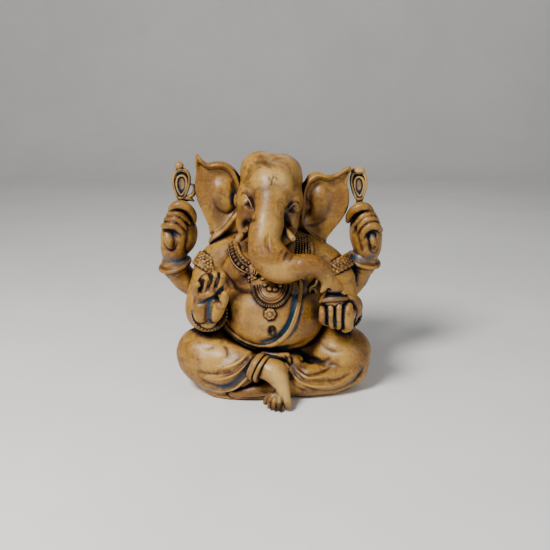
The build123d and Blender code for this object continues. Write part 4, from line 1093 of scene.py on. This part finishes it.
# darker on the toes
dab("wash_and_shade", [(-6, -77, 5), (-1, -80, 5), (6, -82, 4)], 7.5, 1.0)
dab("mauve", [(-6, -76, 7), (5, -80, 6)], 6, 0.9, ("right_foot",))
# painted shade: dark dabs above the ankle hem, along the belt under the belly, beside the sash, under the
# breast, under the ears, in a fold of the right leg and in the ear bowls
dab("wash_and_shade", [(-22, -60, 38), (-12, -64, 36)], 4, 0.5)
dab("wash_and_shade", skin([torso], [(-42, 66), (-30, 52), (-10, 45)]), 4, 0.7)
dab("wash_and_shade", skin([torso], [(17.6, 82), (15, 71), (9, 60), (0, 54)]), 3.6, 1.0, ("torso",))
dab("wash_and_shade", skin([torso], [(-39, 99), (-35, 93), (-27, 89.5), (-17, 91)]), 2.4, 0.9, ("torso",))
dab("wash_and_shade", skin([seat], [(-16.8, 33), (-20.8, 29.2), (-26.8, 23.6), (-33.5, 17.8), (-41, 13.2)]), 3, 0.7)
dab("wash_and_shade", [(40, 0, 120), (44, 6, 108)], 7, 0.6)
dab("wash_and_shade", [(-46, -12, 116), (-50, -6, 106)], 5, 0.6)
dab("wash_and_shade", [(-47, 3, 156), (-45, 3, 142), (-42, 2, 132)], 5, 0.5, ("right_ear",))
dab("wash_and_shade", [(42, 3, 156), (40, 3, 142), (38, 2, 132)], 5, 0.5, ("left_ear",))
# cream rub, on what stands out, and painted highlights where the light falls
dab("cream_and_highlight", sash_line, 1.8, 0.7, ("shoulder_cord",))
dab("cream_and_highlight", [(kx, ky, kz), (kx + 2, ky, kz + 6)], 6, 0.8, ("chest_knot",))
# painted highlights on the forehead and down the front of the trunk
dab("cream_and_highlight", skin([head], [(-4, 184), (5, 182)]), 11, 0.9, ("head",))
dab("cream_and_highlight", skin([head], [(-6, 160), (-8, 140)]), 6, 0.4, ("head",))
dab("cream_and_highlight", [(0, -70, 118), (16, -74, 114), (34, -72, 112), (45, -68, 100)], 6, 0.35, ("head",))
# painted highlights on the upper left of the belly, the tops of the knees and the top of the foot
dab("cream_and_highlight", skin([torso], [(-22, 80), (-12, 70), (0, 68)]), 12, 0.55, ("torso",))
dab("cream_and_highlight", skin([seat], [(-56, 38), (-42, 42), (-30, 40)]), 9, 0.5, ("seat_and_legs",))
dab("cream_and_highlight", skin([seat], [(40, 36), (54, 38), (64, 30)]), 7, 0.3, ("seat_and_legs",))
dab("cream_and_highlight", [(2, -74, 32), (8, -78, 22), (11, -80, 12)], 8, 0.9, ("right_foot",))
dab("cream_and_highlight", [(-13, -66, 36), (-8, -68, 34)], 7, 0.6, ("ankle_hem",))

for node, points, width, amount in (
    ("right_tusk", [(-24, -43, 137), (-29, -46, 133.6)], 4, 0.9),
    ("left_tusk", [(14, -49, 137), (16, -52, 135.6)], 3, 0.6),
    ("bib_beads", skin([bib_necklace], bib_arc(15.4)), 3, 0.8),
    ("bib_necklace", skin([bib_necklace], bib_arc(8)), 5, 0.45),
    ("pendant_flower", [front([torso], -2.4, 75.6, 1.6), front([torso], -2, 79.6, 1.2)], 5, 1.0),
    ("chest_flower", [front([torso], -17, 98, 1.2), front([torso], -12.4, 101.6, 0.8)], 5, 0.8),
    ("garland_beads", skin([torso], [(-8, 99), (-3, 93.4), (2, 93.4), (8, 99)]), 4, 0.7),
    ("medallion", [tuple(spot), tuple(spot + (0, -2, 0))], 6, 0.6),
    ("collar_beads", skin([torso], INNER), 4, 0.5),
    ("collar_beads", skin([torso], [(25, 127), (25, 112)]), 6, 0.5),
    ("goad", [(-79.2, 8, 182), (-78.6, 8, 160)], 9, 0.8),
    ("noose", [(72.6, 8, 182), (74.2, 8, 160)], 9, 0.9),
):
    dab("cream_and_highlight", points, width, amount, (node,))
for node, x, z in (("goad", -78.4, 169), ("noose", 73.6, 168)):
    dab("blue", [(x, 8, z + 3.8), (x, 8, z - 4.2)], 2.9, 1.0, (node,))
# painted shade on the underside of the right bracelet
dab("wash_and_shade", [(-63, -50, 62), (-52, -52, 59), (-41, -50, 62)], 4.5, 0.8, ("right_bracelet",))

KINDS = ("blue", "mauve", "rust", "wash_and_shade", "cream_and_highlight")
RELIEF = ("hollow", "proud", "deep", "groove", "ridge")
REACHES = (0.8, 1.6, 3.2, 6.4)  # how far out and in the relief is felt, in mm
FINE_REACH = 3  # shorter reaches find edges, longer ones find depth
FADE = 2.6  # a dab is gone this many widths away


def paint_masks(s):
    """The strength of each kind of dab at a sculpt's points."""
    out = {kind: np.zeros(len(s.points), np.float32) for kind in KINDS}
    for kind, line, width, amount, on in DABS:
        if on and s.node not in on:
            continue
        low, high = line.min(0) - FADE * width, line.max(0) + FADE * width
        near = np.nonzero(np.all((s.points > low) & (s.points < high), axis=1))[0]
        if len(near):
            d, _ = curve_distance(s.points[near], line)
            out[kind][near] = np.maximum(out[kind][near], amount * np.exp(-((d / width) ** 2)))
    return out


def grooves(s):
    """How strongly a sculpt's grooves and ridges act at its points, each from 0 to 1."""
    cut, raised = np.zeros(len(s.points), np.float32), np.zeros(len(s.points), np.float32)
    for line, depth, width in s.lines:
        reach = 2 * width + abs(depth)
        low, high = line[:, :3].min(0) - reach, line[:, :3].max(0) + reach
        near = np.nonzero(np.all((s.points > low) & (s.points < high), axis=1))[0]
        if not len(near):
            continue
        d, gain = curve_distance(s.points[near], line)
        strength = gain[:, 0] * min(abs(depth), 2) * np.exp(-((d / (0.75 * width)) ** 2))
        target = cut if depth > 0 else raised
        target[near] = np.maximum(target[near], strength)
    return np.clip(cut / 1.6, 0, 1), np.clip(raised / 1.6, 0, 1)


def solid_distance(points, sculpts):
    """The distance field of several sculpts together."""
    best = np.full(len(points), FAR, np.float32)
    for other in sculpts:
        best = np.minimum(best, other.at(points))
    return best


def relief(s):
    """How hollow and how proud the whole figure is at a sculpt's points, each from 0 to 1."""
    low, high = s.points.min(0) - 7, s.points.max(0) + 7
    near = [
        o for o in Sculpt.all
        if np.all(o.low < high) and np.all(o.low + o.voxel * np.array(o.shape) > low)]
    hollow, proud, deep = (np.zeros(len(s.points), np.float32) for _ in range(3))
    for h in REACHES:
        outside = solid_distance(s.points + s.normal * h, near)
        part = np.clip((h - outside) / h, 0, 1)
        hollow += part / len(REACHES)
        if h > FINE_REACH:
            deep += part * 0.5
        inside = solid_distance(s.points - s.normal * h, [s])
        if h < FINE_REACH:
            proud += np.clip((h + inside) / h, 0, 1) * 0.5
    return hollow, proud, deep


def make_piece(s):
    """A Blender mesh from a sculpt, shaded smooth, with its relief and paint masks as attributes."""
    s.mesh()
    mesh = bpy.data.meshes.new(s.node + "_skin")
    count = len(s.quads)
    mesh.vertices.add(len(s.points))
    mesh.vertices.foreach_set("co", (s.points * MM).ravel())
    mesh.loops.add(count * 4)
    mesh.loops.foreach_set("vertex_index", s.quads.astype(np.int32).ravel())
    mesh.polygons.add(count)
    mesh.polygons.foreach_set("loop_start", np.arange(0, count * 4, 4, dtype=np.int32))
    mesh.update(calc_edges=True)
    mesh.validate()
    mesh.shade_smooth()
    layers = dict(zip(RELIEF, relief(s) + grooves(s)))
    layers.update(paint_masks(s))
    for name, values in layers.items():
        mesh.attributes.new(name, "FLOAT", "POINT").data.foreach_set("value", values.astype(np.float32))
    piece = bpy.data.objects.new(s.node + "_skin", mesh)
    bpy.context.scene.collection.objects.link(piece)
    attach(piece, "root")
    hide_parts(s.node)
    return piece


# ------------ materials
class Nodes:
    """Short calls for building a node tree."""

    def __init__(self, material):
        self.tree = material.node_tree
        self.tree.nodes.clear()

    def add(self, kind, values=(), **settings):
        node = self.tree.nodes.new(kind)
        for key, value in settings.items():
            setattr(node, key, value)
        return self.feed(node, dict(values))

    def feed(self, node, values):
        """Links sockets to a node's inputs and sets the others."""
        for slot, value in values.items():
            if isinstance(value, bpy.types.NodeSocket):
                self.tree.links.new(value, node.inputs[slot])
            else:
                node.inputs[slot].default_value = value
        return node

    def attribute(self, name):
        return self.add("ShaderNodeAttribute", attribute_name=name).outputs["Fac"]

    def maths(self, operation, a, b=0.0, c=0.0):
        return self.add("ShaderNodeMath", {0: a, 1: b, 2: c}, operation=operation).outputs[0]

    def times(self, a, b):
        return self.maths("MULTIPLY", a, b)

    def noise(self, scale, detail=4.0, roughness=0.55, distortion=0.0, shift=0.0):
        where = self.add("ShaderNodeTexCoord").outputs["Object"]
        if shift:
            moved = {0: where, 1: (shift, shift * 0.7, -shift)}
            where = self.add("ShaderNodeVectorMath", moved, operation="ADD").outputs[0]
        values = {
            "Vector": where, "Scale": scale, "Detail": detail, "Roughness": roughness,
            "Distortion": distortion}
        return self.add("ShaderNodeTexNoise", values).outputs["Fac"]

    def range(self, value, low, high, to_low=0.0, to_high=1.0):
        values = {"Value": value, "From Min": low, "From Max": high, "To Min": to_low, "To Max": to_high}
        return self.add("ShaderNodeMapRange", values, interpolation_type="SMOOTHSTEP").outputs[0]

    def mix(self, amount, a, b):
        node = self.add("ShaderNodeMix", data_type="RGBA")
        return self.feed(node, {0: amount, 6: a, 7: b}).outputs[2]

    def lay(self, base, amount, strength, colour):
        """The base with a colour laid over it."""
        return self.mix(self.times(amount, strength), base, rgb(*colour))


def rgb(r, g, b):
    """An sRGB colour from 0 to 255 as linear RGBA."""
    linear = (((v / 255 + 0.055) / 1.055) ** 2.4 if v > 10 else v / 255 / 12.92 for v in (r, g, b))
    return (*linear, 1.0)


# the resin's colours, as sRGB
OCHRE_DEEP, OCHRE_PALE = (124, 80, 16), (168, 124, 48)
PATCH, SPECK_DARK, SPECK_PALE = (90, 54, 8), (64, 34, 8), (196, 156, 78)
# the second of these pale colours is also the colour of the painted highlights
RUB, CREAM_AND_HIGHLIGHT, MAUVE, RUST = (206, 168, 92), (214, 180, 112), (84, 60, 56), (92, 38, 18)
# the first two of these darken the hollows, as dark wash and as painted shade
BROWN_WASH_AND_SHADE, WASH_AND_SHADE, BLUE = (66, 34, 11), (20, 9, 5), (2, 54, 80)


def resin_material():
    """Cast resin in ochre: a dark wash in its hollows that is also painted shade, a cream rub on its edges,
    painted highlights, touches of colour.
    """
    material = bpy.data.materials.new("aged_resin_with_painted_light")
    material.use_nodes = True
    n = Nodes(material)
    hollow, proud, deep, groove, ridge = (n.attribute(name) for name in RELIEF)
    broad, patchy, fine = n.noise(30, 4), n.noise(105, 5, 0.64, 0.8), n.noise(900, 3, 0.7)
    speck = n.noise(430, 4, 0.8, 0.3, 0.11)
    base = n.mix(n.range(broad, 0.36, 0.64), rgb(*OCHRE_DEEP), rgb(*OCHRE_PALE))
    base = n.lay(base, n.range(patchy, 0.48, 0.68), 0.6, PATCH)
    base = n.lay(base, n.range(speck, 0.54, 0.7), 0.6, SPECK_DARK)
    base = n.lay(base, n.range(speck, 0.46, 0.32), 0.5, SPECK_PALE)
    # cream rubbed on what stands out, then cream dabs that are partly pale paint and partly painted highlight
    edges = n.maths("MAXIMUM", n.range(proud, 0.2, 0.66), n.range(ridge, 0.3, 1.0))
    base = n.lay(base, n.times(edges, n.range(patchy, 0.3, 0.6, 0.5, 1.0)), 0.72, RUB)
    # pale paint on tusks and jewellery, and painted highlights on the forehead, trunk, belly, knees and foot
    base = n.lay(base, n.times(n.attribute("cream_and_highlight"), n.range(broad, 0.35, 0.6, 0.5, 1.0)), 0.6, CREAM_AND_HIGHLIGHT)
    # thin patches of mauve and rust
    loose = n.range(n.noise(60, 5, 0.6, 0.8, 0.3), 0.36, 0.6)
    base = n.lay(base, n.times(n.attribute("mauve"), loose), 0.7, MAUVE)
    base = n.lay(base, n.times(n.attribute("rust"), loose), 0.8, RUST)
    # brown, then nearly black, in the hollows: the resin's own dark wash, and painted shade in creases,
    # recesses and gaps between parts, with the dabs of painted shade
    hollow_wash_and_shade = n.maths("ADD", hollow, n.times(groove, 0.3))
    hollow_wash_and_shade = n.maths("ADD", hollow_wash_and_shade, n.range(patchy, 0.3, 0.7, -0.06, 0.07))
    base = n.lay(base, n.range(hollow_wash_and_shade, 0.04, 0.26), 0.8, BROWN_WASH_AND_SHADE)
    dabbed_wash_and_shade = n.times(n.attribute("wash_and_shade"), n.maths("MULTIPLY_ADD", loose, 0.55, 0.45))
    wash_and_shade = n.maths("MAXIMUM", n.range(hollow_wash_and_shade, 0.2, 0.44), dabbed_wash_and_shade)
    base = n.lay(base, wash_and_shade, 0.93, WASH_AND_SHADE)
    # blue-green, where it was dabbed and where it is deepest
    blue = n.times(n.attribute("blue"), n.range(n.noise(130, 4, 0.6, 0.5, 0.7), 0.3, 0.5))
    pooled = n.times(n.range(deep, 0.4, 0.7), n.range(broad, 0.48, 0.6, 0.0, 0.35))
    base = n.lay(base, n.maths("MAXIMUM", blue, pooled), 0.92, BLUE)
    # worn surface with fine grain and a few pinholes
    rough = n.maths("ADD", n.range(patchy, 0.3, 0.7, 0.36, 0.52), n.times(wash_and_shade, 0.16))
    height = n.maths("ADD", n.times(fine, 0.35), n.times(n.noise(260, 4, 0.6), 0.9))
    where = n.add("ShaderNodeTexCoord").outputs["Object"]
    pits = n.add("ShaderNodeTexVoronoi", {"Vector": where, "Scale": 150.0}).outputs["Distance"]
    height = n.maths("SUBTRACT", height, n.range(pits, 0.11, 0.02, 0.0, 1.6))
    bump = n.add("ShaderNodeBump", {"Height": height, "Strength": 0.4, "Distance": 0.0006})
    values = {
        "Base Color": base,
        "Roughness": rough,
        "Normal": bump.outputs[0],
        "Specular IOR Level": n.maths("MULTIPLY_ADD", wash_and_shade, -0.3, 0.42),
        "Coat Weight": n.maths("MULTIPLY_ADD", wash_and_shade, -0.1, 0.1),
        "Coat Roughness": 0.3,
    }
    shader = n.add("ShaderNodeBsdfPrincipled", values)
    n.add("ShaderNodeOutputMaterial", {"Surface": shader.outputs[0]})
    return material


def plain_material(name, dark, light, scale, rough, metal=0.0, bump=0.0002, grain=(1, 1, 1), speck=0.4):
    """Two mottled tones with worn roughness and a fine surface, for what is hidden or underneath."""
    material = bpy.data.materials.new(name)
    material.use_nodes = True
    n = Nodes(material)
    where = {0: n.add("ShaderNodeTexCoord").outputs["Object"], 1: grain}
    where = n.add("ShaderNodeVectorMath", where, operation="MULTIPLY").outputs[0]
    tone, fine = (
        n.add("ShaderNodeTexNoise", {
            "Vector": where, "Scale": size, "Detail": detail, "Roughness": rough_noise}).outputs["Fac"]
        for size, detail, rough_noise in ((scale, 5.0, 0.65), (scale * 6, 3.0, 0.7))
    )
    base = n.mix(n.range(tone, 0.34, 0.66), rgb(*dark), rgb(*light))
    base = n.lay(base, n.range(fine, 0.55, 0.75), speck, [v * 0.6 for v in dark])
    bumped = n.add("ShaderNodeBump", {"Height": fine, "Strength": 0.5, "Distance": bump})
    values = {
        "Base Color": base, "Roughness": n.range(fine, 0.3, 0.7, rough - 0.08, rough + 0.1),
        "Metallic": metal, "Normal": bumped.outputs[0]}
    shader = n.add("ShaderNodeBsdfPrincipled", values)
    n.add("ShaderNodeOutputMaterial", {"Surface": shader.outputs[0]})
    return material


resin = resin_material()
for sculpt in list(Sculpt.all):
    make_piece(sculpt).data.materials.append(resin)

for node, material in (
    ("neck_dowel", plain_material(
        "beech_dowel", (150, 112, 70), (190, 150, 104), 60, 0.6, grain=(1, 1, 0.12))),
    ("rear_arm_wires", plain_material("steel_wire", (92, 92, 94), (140, 140, 142), 200, 0.35, 0.9)),
    ("base_plug", plain_material("plug_resin", (132, 100, 60), (168, 132, 84), 50, 0.6)),
    ("felt_pad", plain_material("black_felt", (22, 24, 22), (40, 42, 40), 900, 0.95, bump=0.0008)),
):
    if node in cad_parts:
        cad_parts[node].data.materials.clear()
        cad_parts[node].data.materials.append(material)


# ------------ floor, light and camera
def stage_plane(name, size, material):
    """A pale floor that curves up behind, as one sheet."""
    mesh = bpy.data.meshes.new(name)
    profile = [(-size, 0.0), (size * 0.8, 0.0)]
    for i in range(1, 13):
        a = math.radians(90 * i / 12)
        profile.append((size * 0.8 + size * 0.3 * math.sin(a), size * 0.3 * (1 - math.cos(a))))
    profile.append((size * 1.1, size * 1.6))
    verts = [(x, y, z) for y, z in profile for x in (-size * 1.6, size * 1.6)]
    faces = [(2 * i, 2 * i + 1, 2 * i + 3, 2 * i + 2) for i in range(len(profile) - 1)]
    mesh.from_pydata(verts, [], faces)
    mesh.shade_smooth()
    mesh.materials.append(material)
    obj = bpy.data.objects.new(name, mesh)
    bpy.context.scene.collection.objects.link(obj)
    return obj


stage_plane("floor", 1.5, plain_material(
    "paper_sweep", (236, 235, 232), (242, 241, 239), 4, 0.8, bump=0.00005, speck=0.02))
scene = bpy.context.scene
world = bpy.data.worlds.new("studio")
world.use_nodes = True
world.node_tree.nodes["Background"].inputs["Color"].default_value = (0.86, 0.88, 0.92, 1)
world.node_tree.nodes["Background"].inputs["Strength"].default_value = 0.2
scene.world = world


def area_light(name, place, aim, size, power, colour):
    """A soft lamp at this place, facing this point."""
    data = bpy.data.lights.new(name, "AREA")
    data.shape, data.size, data.energy, data.color = "DISK", size, power, colour
    obj = bpy.data.objects.new(name, data)
    obj.location = place
    obj.rotation_euler = (Vector(aim) - Vector(place)).to_track_quat("-Z", "Y").to_euler()
    scene.collection.objects.link(obj)


area_light("key", (-0.45, -0.62, 0.85), (0, 0, 0.1), 0.34, 17, (1.0, 0.98, 0.95))
area_light("fill", (0.8, -0.5, 0.4), (0, 0, 0.1), 0.6, 1.7, (0.96, 0.97, 1.0))
area_light("rim", (0.2, 0.8, 0.7), (0, 0, 0.12), 0.5, 0.8, (1.0, 1.0, 1.0))

CAMERA_AIM = (0.0, 0.0, 0.092)
CAMERA_RANGE = 0.7
CAMERA_RISE = math.radians(15)
CAMERA_SHIFT = 0.0036  # of the picture's width, to the right
camera = bpy.data.objects.new("camera", bpy.data.cameras.new("camera"))
camera.data.lens = 52.7
camera.data.sensor_width = 36
camera.location = (
    CAMERA_AIM[0], CAMERA_AIM[1] - CAMERA_RANGE * math.cos(CAMERA_RISE),
    CAMERA_AIM[2] + CAMERA_RANGE * math.sin(CAMERA_RISE))
camera.rotation_euler = (Vector(CAMERA_AIM) - camera.location).to_track_quat("-Z", "Y").to_euler()
camera.data.shift_x = CAMERA_SHIFT
camera.data.clip_start = 0.01
scene.collection.objects.link(camera)
scene.camera = camera
